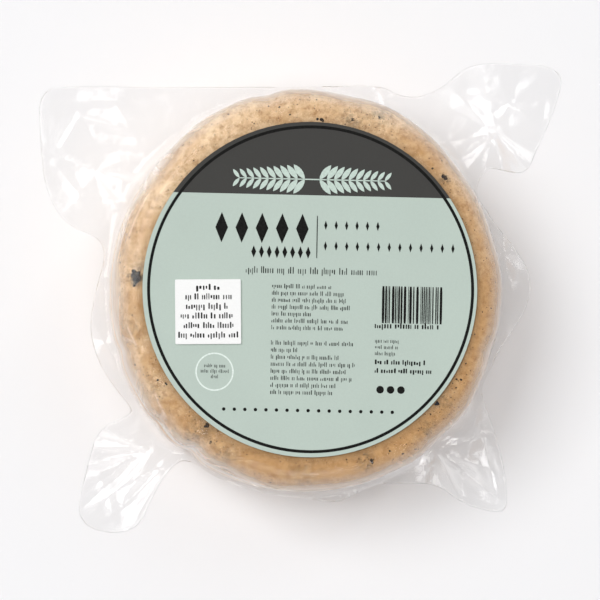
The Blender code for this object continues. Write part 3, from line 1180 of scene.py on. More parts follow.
@dataclass
class TruffleFlecks:
    """The truffle that shows in the cheese's rim and side."""

    form: WheelForm
    seed: int = 41
    fine_count: int = 1100
    coarse_count: int = 60
    stain_count: int = 26
    fine_size: tuple = (0.05 * MM, 0.15 * MM)
    coarse_size: tuple = (0.17 * MM, 0.30 * MM)
    flatness: float = 0.5
    tallest: float = 0.1 * MM
    unevenness: float = 0.3
    bit_spread: float = 0.28
    stain_spread: float = 0.55
    climb: tuple = (-0.25, 1.18)
    lowest: float = 4.0 * MM
    side_stretch: float = 100.0 * MM
    top_stretch: float = 9.0 * MM
    steepest: float = 1.5
    stretch: tuple = (0.6, 1.5)
    lump_push: float = 0.6 * MM
    lump_size: float = 0.35 * MM
    flecks: tuple = (
        Fleck(176.4, 48.4, 0.62, 24),
        Fleck(86.3, 47.1, 0.75, 4),
        Fleck(39.5, 48.9, 0.56, 6),
        Fleck(233.1, 47.4, 0.6, 5),
        Fleck(318.1, 47.5, 0.5, 4),
        Fleck(289.9, 50.4, 0.5, 5),
        Fleck(102.7, 52.1, 0.3, 1),
        Fleck(99.4, 51.3, 0.26, 1),
        Fleck(80.3, 54, 0.3, 1),
        Fleck(188.4, 49.9, 0.3, 1),
        Fleck(231, 53.6, 0.32, 1),
        Fleck(210.8, 49, 0.26, 1),
        Fleck(334.9, 48.1, 0.3, 1),
        Fleck(328.7, 47.8, 0.26, 1),
        Fleck(314.2, 48.2, 0.28, 2),
        Fleck(299.6, 52.3, 0.28, 1),
        Fleck(68, 51.8, 0.28, 6),
        Fleck(76, 48.4, 0.26, 5),
        Fleck(115, 53.6, 0.27, 1),
        Fleck(131.4, 53.2, 0.27, 1),
        Fleck(88, 52.8, 0.24, 2),
        Fleck(203.6, 52.6, 0.26, 2),
        Fleck(213.4, 47.7, 0.3, 2),
        Fleck(237, 50.6, 0.26, 3),
        Fleck(44.5, 51.6, 0.24, 2),
        Fleck(172, 53, 0.2, 1),
    )

    def spot(self, degrees: float, climb: float) -> Vector:
        """Return a place on the wheel's form.

        Args:
            degrees: the angle round the wheel.
            climb: how high it is: below 0 on the side, 0 to 1 on the shoulder and past 1 on the top.

        Returns:
            The place.
        """
        angle = math.radians(degrees)
        turn = 0.5 * math.pi * max(0.0, climb)
        rise = min(1.0, math.sin(min(turn, self.steepest)))
        height = self.form.height - self.form.shoulder_rise * (1.0 - rise)
        if climb <= 0.0:
            height = self.lowest + self.side_stretch * (climb - self.climb[0])
        radius = float(self.form.at(np.array([angle]), np.array([height]))[0])
        if climb > 1.0:
            radius -= self.top_stretch * (climb - 1.0)
        return Vector((math.cos(angle), math.sin(angle), 0.0)) * radius + Vector((0.0, 0.0, height))

    def groups(self, stains: tuple) -> list[tuple[float, float, float, int, float]]:
        """Return the clusters of flecks, first the larger ones and then those in the stains.

        Args:
            stains: the stained places, which are full of fine flecks.

        Returns:
            Each cluster's angle, its distance from the centre, its flecks' size and number, and its spread.
        """
        found = []
        for fleck in self.flecks:
            size = fleck.size * MM
            spread = self.bit_spread * size * math.sqrt(fleck.bits)
            found.append((fleck.degrees, fleck.from_centre * MM, size, fleck.bits, spread))
        for stain in stains:
            count = round(self.stain_count * stain.darkness)
            spread = self.stain_spread * (stain.half_width * MM)
            found.append((stain.degrees, stain.from_centre * MM, self.fine_size[1], count, spread))
        return found

    def points(self, cheese: Piece, stains: tuple) -> list[tuple[Vector, Vector, float]]:
        """Choose the places of all flecks on the cheese's own surface.

        Args:
            cheese: the finished cheese.
            stains: the stained places, which are full of fine flecks.

        Returns:
            Each fleck's place, the surface's normal there and its size.
        """
        draw = random.Random(self.seed)
        scattered = []
        sorts = ((self.fine_count, self.fine_size), (self.coarse_count, self.coarse_size))
        for count, (small, large) in sorts:
            for _ in range(count):
                size = small + (large - small) * draw.random() ** 2
                scattered.append((draw.uniform(0.0, 360.0), draw.uniform(*self.climb), size))
        corners = [vertex.co for vertex in cheese.data.vertices]
        surface = BVHTree.FromPolygons(corners, [face.vertices for face in cheese.data.polygons])
        core = Vector((0.0, 0.0, 0.5 * self.form.height))
        found = []
        for degrees, climb, size in scattered:
            place, normal = surface.find_nearest(self.spot(degrees, climb))[:2]
            outward = normal if normal.dot(place - core) > 0.0 else -normal
            found.append((place, outward, size))
        for degrees, from_centre, size, bits, spread in self.groups(stains):
            angle = math.radians(degrees)
            for _ in range(bits):
                spot = Vector((math.cos(angle), math.sin(angle), 0.0)) * from_centre
                spot += Vector((draw.gauss(0.0, spread), draw.gauss(0.0, spread), 0.1))
                place, normal = surface.ray_cast(spot, Vector((0.0, 0.0, -1.0)))[:2]
                if place is not None:
                    found.append((place, normal, size * (draw.uniform(0.4, 1.0) if bits > 1 else 1.0)))
        return found

    def tree(self) -> bpy.types.NodeTree:
        """Return the tree that sets a small uneven lump on each point.

        Returns:
            The tree.
        """
        draft = NodeDraft("truffle_flecks")
        flatness, tallest, uneven = draft.numbers("Flatness", "Tallest", "Unevenness")
        seed = draft.ask("Seed", "NodeSocketInt")
        size = draft.attribute("size")
        outward = draft.attribute("facing", "FLOAT_VECTOR")
        facing = draft.step("FunctionNodeAlignRotationToVector", {"Vector": outward}, axis="Z")
        spin = draft.add(
            "FunctionNodeRandomValue", {"Seed": seed, 2: 0.0, 3: 2.0 * math.pi}, data_type="FLOAT"
        ).outputs[1]
        turned = draft.step("ShaderNodeCombineXYZ", {"Z": spin})
        local = draft.step("FunctionNodeEulerToRotation", {0: turned})
        rotation = draft.step(
            "FunctionNodeRotateRotation", {"Rotation": facing, "Rotate By": local}, rotation_space="LOCAL"
        )
        links = {"Seed": draft.sum("ADD", seed, 7.0), 2: self.stretch[0], 3: self.stretch[1]}
        stretch = draft.add("FunctionNodeRandomValue", links, data_type="FLOAT").outputs[1]
        stand = draft.sum("MINIMUM", draft.times(size, flatness), tallest)
        scale = draft.step("ShaderNodeCombineXYZ", {"X": draft.times(size, stretch), "Y": size, "Z": stand})
        lump = draft.step("GeometryNodeMeshIcoSphere", {"Radius": 1.0, "Subdivisions": 2})
        links = {"Points": draft.start, "Instance": lump, "Rotation": rotation, "Scale": scale}
        set_out = draft.step("GeometryNodeInstanceOnPoints", links)
        real = draft.step("GeometryNodeRealizeInstances", {"Geometry": set_out})
        noise = draft.add("ShaderNodeTexNoise", {"Scale": 1.0 / self.lump_size, "Detail": 1.0}).outputs[1]
        centred = draft.step("ShaderNodeVectorMath", {0: noise, 1: (0.5, 0.5, 0.5)}, operation="SUBTRACT")
        push = draft.times(uneven, self.lump_push)
        offset = draft.step("ShaderNodeVectorMath", {0: centred, "Scale": push}, operation="SCALE")
        rough = draft.step("GeometryNodeSetPosition", {"Geometry": real, "Offset": offset})
        return draft.end(rough)

    def build(self, cheese: Piece, stains: tuple) -> Piece:
        """Return the flecks as one piece, half sunk into the cheese.

        Args:
            cheese: the finished cheese.
            stains: the stained places.

        Returns:
            The flecks.
        """
        places, normals, sizes = zip(*self.points(cheese, stains))
        piece = new_piece("truffle_flecks", np.array(places), [])
        mark_points(piece, "size", sizes)
        mark_points(piece, "facing", normals)
        values = {
            "Flatness": self.flatness,
            "Tallest": self.tallest,
            "Unevenness": self.unevenness,
            "Seed": self.seed,
            "Finish": TruffleFinish().make(),
        }
        grow(piece, self.tree(), values)
        settle(piece, "cheese")
        return piece


# The bag


@dataclass(frozen=True)
class Pleat:
    """A small ridge of spare film on the wheel, between two places: angle in degrees, height in mm."""

    start: tuple
    end: tuple
    rise: float
    half_width: float


@dataclass
class FilmWrap:
    """The film that clings to the wheel, from the middle of its top round to the middle of its underside."""

    form: WheelForm
    bag: BagForm
    steps: int = 600
    rings: int = 46
    seed: int = 12
    root_fade: float = 12.0
    limit_fade: float = 8.0
    tight_below: float = 0.12 * MM
    pleated_above: float = 0.3 * MM
    rim_margin: float = 0.5 * MM
    pleats: tuple = (
        Pleat((216, 34), (223, 36), 0.9, 0.9),
        Pleat((223, 36), (231, 34.5), 0.8, 0.8),
        Pleat((221, 38), (226, 36.5), 0.6, 0.7),
        Pleat((228.5, 33), (238, 36.5), 0.7, 0.8),
        Pleat((192, 40.5), (199, 41.2), 0.5, 0.9),
        Pleat((195, 38.5), (197.5, 41.5), 0.5, 0.8),
        Pleat((213, 41.2), (219, 40.4), 0.55, 0.8),
        Pleat((219, 40.6), (222, 38.8), 0.5, 0.7),
        Pleat((238, 35), (250, 33.5), 0.7, 0.7),
        Pleat((250, 33.5), (266, 32.6), 0.6, 0.7),
        Pleat((266, 34), (279, 33.6), 0.6, 0.7),
        Pleat((277, 34.6), (290, 35.4), 0.6, 0.7),
        Pleat((290, 34), (306, 35.5), 0.6, 0.8),
        Pleat((256, 36.5), (262, 35.5), 0.4, 0.6),
        Pleat((336, 33.5), (350, 32.5), 0.5, 0.8),
        Pleat((4, 33), (24, 34), 0.5, 0.8),
        Pleat((150, 40), (166, 39.5), 0.3, 0.9),
        Pleat((156, 38), (172, 37), 0.3, 0.9),
        Pleat((182, 38), (194, 37), 0.35, 0.8),
        Pleat((100, 35), (118, 36), 0.3, 0.8),
        Pleat((62, 37), (76, 35), 0.45, 0.8),
    )

    def corner_pleats(self) -> list[Pleat]:
        """Return the pleats that fan out over the wheel from each corner of the bag.

        Returns:
            The pleats.
        """
        draw = random.Random(self.seed)
        found = []
        for flap in self.bag.flaps():
            for number in range(-5, 6):
                start = flap.middle + number * 0.22 * flap.half_width + draw.uniform(-0.8, 0.8)
                end = flap.middle + number * 0.36 * flap.half_width + draw.uniform(-1.2, 1.2)
                rise = draw.uniform(0.15, 0.5)
                width = draw.uniform(0.7, 1.3)
                found.append(Pleat((start, 30.0), (end, draw.uniform(37.0, 41.0)), rise, width))
                found.append(Pleat((start, 11.0), (end, draw.uniform(2.0, 5.0)), rise, width))
        return found

    def on_wheel(self, degrees: float, height: float) -> np.ndarray:
        """Return the point of the wheel's surface at an angle and a height in millimetres."""
        angle, level = np.array([math.radians(degrees)]), np.array([height * MM])
        return np.append(on_circle(angle, self.form.at(angle, level))[0], level)

    def lift(self, points: np.ndarray) -> np.ndarray:
        """Return how far the pleats raise the film at these points.

        Args:
            points: the points, one row each.

        Returns:
            The rise at each point.
        """
        raised = np.zeros(len(points))
        for pleat in list(self.pleats) + self.corner_pleats():
            start = self.on_wheel(*pleat.start)
            along = self.on_wheel(*pleat.end) - start
            share = np.clip(((points - start) @ along) / (along @ along), 0.0, 1.0)
            away = np.linalg.norm(points - (start + share[:, None] * along), axis=1)
            taper = np.sin(math.pi * (0.12 + 0.8 * share))
            ridge = np.maximum(0.0, 1.0 - away / (pleat.half_width * MM))
            raised = np.maximum(raised, pleat.rise * MM * taper * ridge)
        return raised

    def half(self, root: np.ndarray, upper: bool) -> tuple[np.ndarray, list, np.ndarray, np.ndarray]:
        """Make the film over one half of the wheel.

        Args:
            root: the height at which the film leaves the wheel's side, for each step round it.
            upper: whether this is the half over the top or the half under the foot.

        Returns:
            The points, the faces, how far pleats raise each point, and how freely it follows the cheese.
        """
        angle = 2.0 * math.pi * np.arange(self.steps) / self.steps
        limit = self.form.height if upper else 0.0
        width = self.form.shoulder_width if upper else self.form.foot_width
        share = np.sin(0.5 * math.pi * np.arange(self.rings + 1) / self.rings)
        rows, raised, free = [], [], []
        for part in share:
            height = root + (limit - root) * part
            radius = self.form.at(angle, np.clip(height, 0.0, self.form.height))
            up = self.form.slope(np.clip(height, 0.1 * MM, self.form.height - 0.1 * MM))
            out = np.sqrt(1.0 - up**2)
            points = np.column_stack([on_circle(angle, radius), height])
            pleats = self.lift(points) * min(1.0, self.root_fade * part)
            pleats = pleats * min(1.0, self.limit_fade * (1.0 - part))
            raise_by = self.bag.cling + pleats
            points[:, :2] += on_circle(angle, out * raise_by)
            points[:, 2] += up * raise_by
            if not upper:
                points[:, 2] = np.maximum(points[:, 2], 0.0)
            rows.append(points)
            raised.append(pleats)
            free.append(np.array([self.form.freedom(float(value)) for value in height]))
        flat = limit + (self.bag.cling if upper else 0.0)
        for part in (0.97, 0.8, 0.4):
            radius = part * (self.form.side(angle) - width)
            rows.append(np.column_stack([on_circle(angle, radius), np.full(self.steps, flat)]))
            raised.append(np.zeros(self.steps))
            free.append(np.full(self.steps, 1.0 if upper and part > 0.95 else 0.0))
        points = np.concatenate(rows + [np.array([[0.0, 0.0, flat]])])
        raised = np.concatenate(raised + [np.zeros(1)])
        free = np.concatenate(free + [np.zeros(1)])
        faces = ring_faces(len(rows), self.steps)
        last = (len(rows) - 1) * self.steps
        for step in range(self.steps):
            faces.append((last + step, last + (step + 1) % self.steps, len(points) - 1))
        if not upper:
            faces = [tuple(reversed(face)) for face in faces]
        return points, faces, raised, free

    def build(self, cheese: CheeseWheel, material: Material) -> Piece:
        """Return the clinging film as one piece, pressed into the dips of the cheese.

        Args:
            cheese: the wheel whose relief the film follows.
            material: the film's finish.

        Returns:
            The clinging film.
        """
        angle = 2.0 * math.pi * np.arange(self.steps) / self.steps
        foot = on_circle(angle, self.form.side(angle) + self.bag.cling)
        middle = self.bag.height(foot)
        tent = self.bag.tent(foot)
        upper, faces, raised, free = self.half(middle + tent, True)
        lower, more, raised_below, free_below = self.half(middle - self.bag.lower_tent * tent, False)
        faces = faces + [tuple(corner + len(upper) for corner in face) for face in more]
        points = np.concatenate([upper, lower])
        piece = new_piece("film_wrap", points, faces)
        mark_points(piece, "free", np.concatenate([free, free_below]))
        lifted = np.concatenate([raised, raised_below])
        flat_top = self.form.radius - self.form.shoulder_width - self.rim_margin
        on_rim = np.hypot(points[:, 0], points[:, 1]) > flat_top
        mark_points(piece, "tight", np.clip(1.0 - lifted / self.tight_below, 0.0, 1.0) * on_rim)
        mark_points(piece, "pleated", np.clip(lifted / self.pleated_above, 0.0, 1.0) * on_rim)
        grow(piece, cheese.relief_tree(), cheese.relief_values(material))
        piece.data.shade_smooth()
        piece.visible_shadow = False
        settle(piece, "clear_film")
        return piece


@dataclass
class FilmFlaps:
    """The two films that stand clear of the wheel, sealed together along the bag's edge."""

    form: WheelForm
    bag: BagForm
    spacing: float = 1.0 * MM
    seal_width: float = 6.0 * MM
    seal_gap: float = 0.04 * MM
    pillow: float = 0.3 * MM
    crinkle_depth: float = 0.24 * MM
    crinkle_size: float = 7.0 * MM
    crinkle_stretch: float = 3.5
    fine_crinkle_depth: float = 0.07 * MM
    fine_crinkle_size: float = 2.6 * MM
    levels: int = 1
    clearance: float = 0.6
    span: float = 80.0 * MM
    fold_root: float = 14.0 * MM
    fold_width: float = 26.0 * MM
    open_reach: float = 4.0 * MM
    swell_lengths: tuple = (5.2 * MM, 4.3 * MM)
    loose_reach: float = 2.5 * MM
    edge_reach: float = 5.0 * MM
    edge_looseness: float = 0.45
    weld_distance: float = 0.002 * MM

    def inner(self) -> list[Vector]:
        """Return the line where the film leaves the wheel's side.

        Returns:
            The line's points, counter-clockwise.
        """
        count = round(2.0 * math.pi * self.form.radius / self.spacing)
        angle = 2.0 * math.pi * np.arange(count) / count
        return [Vector(point) for point in on_circle(angle, self.form.side(angle) + self.bag.cling)]

    @staticmethod
    def inside(places: np.ndarray, outline: list[Vector]) -> np.ndarray:
        """Tell which places lie inside a closed outline.

        Args:
            places: the places seen from above, one row each.
            outline: the outline's points, in order.

        Returns:
            True for each place inside.
        """
        result = np.zeros(len(places), bool)
        x, y = places[:, 0], places[:, 1]
        for a, b in zip(outline, outline[1:] + outline[:1]):
            if a.y != b.y:
                spans = (a.y > y) != (b.y > y)
                result ^= spans & (x < a.x + (y - a.y) * (b.x - a.x) / (b.y - a.y))
        return result

    def between(self, places: np.ndarray, borders: tuple) -> np.ndarray:
        """Tell which places lie on the film, inside its outer border and outside its inner one."""
        return self.inside(places, borders[0]) & ~self.inside(places, borders[1])

    def add_folds(self, points: list[Vector], edges: list[tuple[int, int]], borders: tuple) -> None:
        """Add a row of points and edges along each crease, where it is clear of the borders.

        Args:
            points: the points so far.
            edges: the edges so far, each by its two points' numbers.
            borders: the outer and the inner border.
        """
        near = near_finder(borders[0] + borders[1])
        for crease in self.bag.creases:
            start, end = Vector(crease.start) * MM, Vector(crease.end) * MM
            count = max(2, round((end - start).length / self.spacing))
            row = [start.lerp(end, step / count) for step in range(count + 1)]
            last = None
            for point, on_film in zip(row, self.between(np.array(row), borders)):
                if on_film and near.find((*point, 0.0))[2] > 0.5 * self.spacing:
                    points.append(point)
                    if last is not None:
                        edges.append((last, len(points) - 1))
                    last = len(points) - 1
                else:
                    last = None

    def grid(self, borders: tuple) -> np.ndarray:
        """Return an even triangular grid of places on the film.

        Args:
            borders: the outer and the inner border.

        Returns:
            The places, one row each.
        """
        row_height = self.spacing * math.sqrt(0.75)
        rows = np.arange(int(2.0 * self.span / row_height))
        columns = np.arange(int(2.0 * self.span / self.spacing))
        x = -self.span + (columns[None, :] + 0.5 * (rows[:, None] % 2)) * self.spacing
        y = np.broadcast_to((-self.span + rows * row_height)[:, None], x.shape)
        places = np.column_stack([x.ravel(), y.ravel()])
        return places[self.between(places, borders)]

    def net(self) -> tuple[np.ndarray, list[tuple[int, int, int]]]:
        """Lay out the film as seen from above.

        Returns:
            The points, one row each, and the corners of each triangle.
        """
        outer = self.bag.outline(self.spacing)
        inner = self.inner()
        borders = (outer, inner)
        points = outer + inner
        edges = [(i, (i + 1) % len(outer)) for i in range(len(outer))]
        edges += [(len(outer) + i, len(outer) + (i + 1) % len(inner)) for i in range(len(inner))]
        self.add_folds(points, edges, borders)
        fixed = near_finder(points)
        clear = self.clearance * self.spacing
        points += [Vector(p) for p in self.grid(borders) if fixed.find((p[0], p[1], 0.0))[2] > clear]
        result = delaunay_2d_cdt(points, edges, [], 0, 1e-7)
        places = np.array([tuple(point) for point in result[0]])
        corners = np.array(result[2])
        kept = corners[self.between(places[corners].mean(axis=1), borders)]
        a, b, c = places[kept[:, 0]], places[kept[:, 1]], places[kept[:, 2]]
        area = (b[:, 0] - a[:, 0]) * (c[:, 1] - a[:, 1]) - (b[:, 1] - a[:, 1]) * (c[:, 0] - a[:, 0])
        turned = np.where(area[:, None] > 0.0, kept, kept[:, ::-1])
        return places, [tuple(int(n) for n in row) for row in turned]

    def fold_places(self, places: np.ndarray) -> np.ndarray:
        """Return where these places lie round the nearest corner's root and along from it.

        The crinkles are drawn on this grid, so they run outward from the wheel as folds in film do.

        Args:
            places: the places seen from above, one row each.

        Returns:
            Each place on the crinkles' own grid.
        """
        degrees = np.degrees(np.arctan2(places[:, 1], places[:, 0]))
        nearest = np.full(len(places), 1e9)
        result = np.zeros((len(places), 3))
        for number, flap in enumerate(self.bag.flaps()):
            gap = np.abs(turn_gap(degrees, flap.middle))
            angle = math.radians(flap.middle)
            root = (self.form.radius - self.fold_root) * np.array([math.cos(angle), math.sin(angle)])
            away = places - root
            around = np.arctan2(away[:, 1], away[:, 0]) * self.fold_width + number * 0.5
            along = np.hypot(away[:, 0], away[:, 1]) / self.crinkle_stretch
            closer = gap < nearest
            nearest = np.where(closer, gap, nearest)
            result[closer, 0] = around[closer]
            result[closer, 1] = along[closer]
        return result

    def crinkle_tree(self) -> bpy.types.NodeTree:
        """Return the tree that gives the film its sharp random crinkles.

        Returns:
            The tree.
        """
        draft = NodeDraft("film_crinkles")
        depth, size, fine_depth, fine_size = draft.numbers(
            "Crinkle depth", "Crinkle size", "Fine depth", "Fine size"
        )
        levels = draft.ask("Levels", "NodeSocketInt")
        dense = draft.step("GeometryNodeSubdivideMesh", {"Mesh": draft.start, "Level": levels})
        total = None
        spread = draft.attribute("fold_place", "FLOAT_VECTOR")
        place = draft.step("GeometryNodeInputPosition")
        for amount, lump, where in ((depth, size, spread), (fine_depth, fine_size, place)):
            cells = draft.add(
                "ShaderNodeTexVoronoi",
                {"Vector": where, "Scale": draft.sum("DIVIDE", 1.0, lump), "Randomness": 1.0},
                voronoi_dimensions="2D",
            )
            part = draft.times(draft.sum("SUBTRACT", cells.outputs["Distance"], 0.4), amount)
            total = part if total is None else draft.sum("ADD", total, part)
        total = draft.times(total, draft.attribute("loose"))
        offset = draft.step("ShaderNodeCombineXYZ", {"Z": total})
        moved = draft.step("GeometryNodeSetPosition", {"Geometry": dense, "Offset": offset})
        return draft.end(moved)

    def build(self, material: Material) -> Piece:
        """Return the flaps and skirts of the bag as one piece.

        Args:
            material: the film's finish.

        Returns:
            The flaps and skirts.
        """
        places, triangles = self.net()
        outline = near_finder(self.bag.outline(self.spacing))
        from_edge = np.array([outline.find((x, y, 0.0))[2] for x, y in places])
        reach = self.bag.reach(places)
        middle = self.bag.height(places)
        tent = self.bag.tent(places)
        open_part = np.clip(from_edge / self.seal_width, 0.0, 1.0)
        open_part = open_part * np.clip(reach / self.open_reach, 0.0, 1.0)
        waves = np.sin(places / self.swell_lengths + (1.0, 0.0))
        swell = 0.5 + 0.5 * waves[:, 0] * waves[:, 1]
        apart = self.seal_gap * np.clip(from_edge / self.spacing, 0.0, 1.0) + self.pillow * open_part * swell
        upper = np.column_stack([places, middle + tent + apart])
        lower = np.column_stack([places, middle - self.bag.lower_tent * tent - apart])
        count = len(places)
        faces = triangles + [tuple(corner + count for corner in reversed(face)) for face in triangles]
        piece = new_piece("film_flaps", np.concatenate([upper, lower]), faces)
        inward = np.clip(from_edge / self.edge_reach, 0.0, 1.0)
        loose = np.clip(reach / self.loose_reach, 0.0, 1.0)
        loose = loose * (self.edge_looseness + (1.0 - self.edge_looseness) * inward)
        mark_points(piece, "loose", np.concatenate([loose, loose]))
        folds = self.fold_places(places)
        mark_points(piece, "fold_place", np.concatenate([folds, folds]))
        for name in ("tight", "pleated"):
            mark_points(piece, name, np.zeros(2 * count))
        shape = bmesh.new()
        shape.from_mesh(piece.data)
        rim = [vertex for vertex in shape.verts if vertex.is_boundary]
        bmesh.ops.remove_doubles(shape, verts=rim, dist=self.weld_distance)
        shape.to_mesh(piece.data)
        shape.free()
        values = {
            "Crinkle depth": self.crinkle_depth,
            "Crinkle size": self.crinkle_size,
            "Fine depth": self.fine_crinkle_depth,
            "Fine size": self.fine_crinkle_size,
            "Levels": self.levels,
            "Finish": material,
        }
        grow(piece, self.crinkle_tree(), values)
        piece.data.shade_smooth()
        piece.visible_shadow = False
        settle(piece, "clear_film", "clear_bag")
        return piece


# The label and its print


class Stamp(Enum):
    """The simple shapes that the print is made of."""

    CELL = "cell"
    LOZENGE = "lozenge"
    LEAF = "leaf"
    DISC = "disc"


@dataclass(frozen=True)
class Mark:
    """One printed shape: its middle on the label, its width and height, and its turn in radians."""

    x: float
    y: float
    wide: float
    tall: float
    turn: float = 0.0


def mark_row(count: int, left: float, pitch: float, y: float, wide: float, tall: float) -> list[Mark]:
    """Return a row of equal marks.

    Args:
        count: how many there are.
        left: where the first one's middle is, in millimetres.
        pitch: the distance from one to the next.
        y: the row's height on the label.
        wide: each mark's width.
        tall: each mark's height.

    Returns:
        The marks, in metres.
    """
    return [Mark((left + pitch * number) * MM, y * MM, wide * MM, tall * MM) for number in range(count)]


@dataclass(frozen=True)
class TextBlock:
    """Rows of marks that stand in for small print, in millimetres on the label."""

    left: float
    top: float
    pitch: float
    widths: tuple
    size: float
    weight: float = 0.34
    centred: bool = False


def outline_of(stamp: Stamp) -> list[tuple[float, float]]:
    """Return a stamp's outline, one unit wide and one unit tall.

    Args:
        stamp: the shape.

    Returns:
        Its corners, counter-clockwise.
    """
    if stamp is Stamp.LOZENGE:
        return [(0.5, 0.0), (0.0, 0.5), (-0.5, 0.0), (0.0, -0.5)]
    if stamp is Stamp.DISC:
        angles = [2.0 * math.pi * step / 28 for step in range(28)]
        return [(0.5 * math.cos(angle), 0.5 * math.sin(angle)) for angle in angles]
    if stamp is Stamp.LEAF:
        shares = (0.0, 0.12, 0.28, 0.45, 0.65, 0.85)
        upper = [(0.5 - share, 0.5 * math.sin(math.pi * share) ** 0.8) for share in shares]
        lower = [(x, -y) for x, y in reversed(upper[1:])]
        return upper + [(-0.5, 0.0)] + lower
    round_off = 0.14
    inner = 0.5 - round_off
    return [
        (0.5, inner), (inner, 0.5), (-inner, 0.5), (-0.5, inner),
        (-0.5, -inner), (-inner, -0.5), (inner, -0.5), (0.5, -inner),
    ]


def stamp_object(stamp: Stamp) -> Piece:
    """Return a stamp as a flat closed block, one unit in each direction.

    Args:
        stamp: the shape.

    Returns:
        The block.
    """
    outline = outline_of(stamp)
    count = len(outline)
    points = [(x, y, 0.0) for x, y in outline] + [(x, y, 1.0) for x, y in outline]
    faces = [tuple(range(count, 2 * count)), tuple(reversed(range(count)))]
    for step in range(count):
        after = (step + 1) % count
        faces.append((step, after, count + after, count + step))
    piece = new_piece("stamp_" + stamp.value, np.array(points), faces)
    piece.data.shade_flat()
    return piece


@dataclass
class Printer:
    """Prints marks on a flat paper: it sets one stamp on each mark's place."""

    turn: float
    centre: tuple
    level: float
    slot: str
    ink: float = 0.03 * MM
    clear: float = 0.01 * MM

    def on_paper(self, x: float, y: float) -> tuple[float, float]:
        """Return a place of the paper's own axes in the frame's axes."""
        cosine, sine = math.cos(self.turn), math.sin(self.turn)
        return (self.centre[0] + x * cosine - y * sine, self.centre[1] + x * sine + y * cosine)

    def tree(self) -> bpy.types.NodeTree:
        """Return the tree that sets a stamp on every point.

        Returns:
            The tree.
        """
        draft = NodeDraft("print_marks")
        stamp = draft.ask("Stamp", "NodeSocketObject")
        ink = draft.ask("Ink height", "NodeSocketFloat")
        shape = draft.add("GeometryNodeObjectInfo", {"Object": stamp}).outputs["Geometry"]
        turned = draft.step("ShaderNodeCombineXYZ", {"Z": draft.attribute("turn")})
        rotation = draft.step("FunctionNodeEulerToRotation", {0: turned})
        sizes = {"X": draft.attribute("wide"), "Y": draft.attribute("tall"), "Z": ink}
        scale = draft.step("ShaderNodeCombineXYZ", sizes)
        links = {"Points": draft.start, "Instance": shape, "Rotation": rotation, "Scale": scale}
        printed = draft.step("GeometryNodeInstanceOnPoints", links)
        return draft.end(printed)

    def print(self, name: str, stamp: Stamp, marks: list[Mark], ink: Material) -> Piece:
        """Print marks as one piece.

        Args:
            name: the piece's name.
            stamp: the shape of every mark.
            marks: the marks, on the paper's own axes.
            ink: the finish.

        Returns:
            The printed piece.
        """
        points = [(*self.on_paper(mark.x, mark.y), self.level + self.clear) for mark in marks]
        piece = new_piece(name, np.array(points), [])
        mark_points(piece, "wide", [mark.wide for mark in marks])
        mark_points(piece, "tall", [mark.tall for mark in marks])
        mark_points(piece, "turn", [mark.turn + self.turn for mark in marks])
        shape = stamp_object(stamp)
        grow(piece, self.tree(), {"Stamp": shape, "Ink height": self.ink, "Finish": ink})
        bpy.data.objects.remove(shape, do_unlink=True)
        settle(piece, self.slot)
        return piece

    def ring(self, name: str, middle: tuple, radius: float, line: float, ink: Material) -> Piece:
        """Print a thin circle.

        Args:
            name: the piece's name.
            middle: its centre on the paper's own axes.
            radius: the radius of the line's middle.
            line: the line's width.
            ink: the finish.

        Returns:
            The printed piece.
        """
        draft = NodeDraft("print_ring")
        radius_in, line_in, ink_in = draft.numbers("Radius", "Line width", "Ink height")
        place_in = draft.ask("Place", "NodeSocketVector")
        links = {"Resolution": 180, "Radius": radius_in}
        path = draft.step("GeometryNodeCurvePrimitiveCircle", links)
        links = {"Width": line_in, "Height": ink_in}
        section = draft.step("GeometryNodeCurvePrimitiveQuadrilateral", links)
        swept = draft.step("GeometryNodeCurveToMesh", {"Curve": path, "Profile Curve": section})
        placed = draft.step("GeometryNodeTransform", {"Geometry": swept, "Translation": place_in})
        tree = draft.end(placed)
        place = (*self.on_paper(*middle), self.level + self.clear + 0.5 * self.ink)
        piece = new_piece(name, np.array([(0.0, 0.0, 0.0)]), [])
        values = {"Radius": radius, "Line width": line, "Ink height": self.ink, "Place": place, "Finish": ink}
        grow(piece, tree, values)
        piece.data.shade_flat()
        settle(piece, self.slot)
        return piece


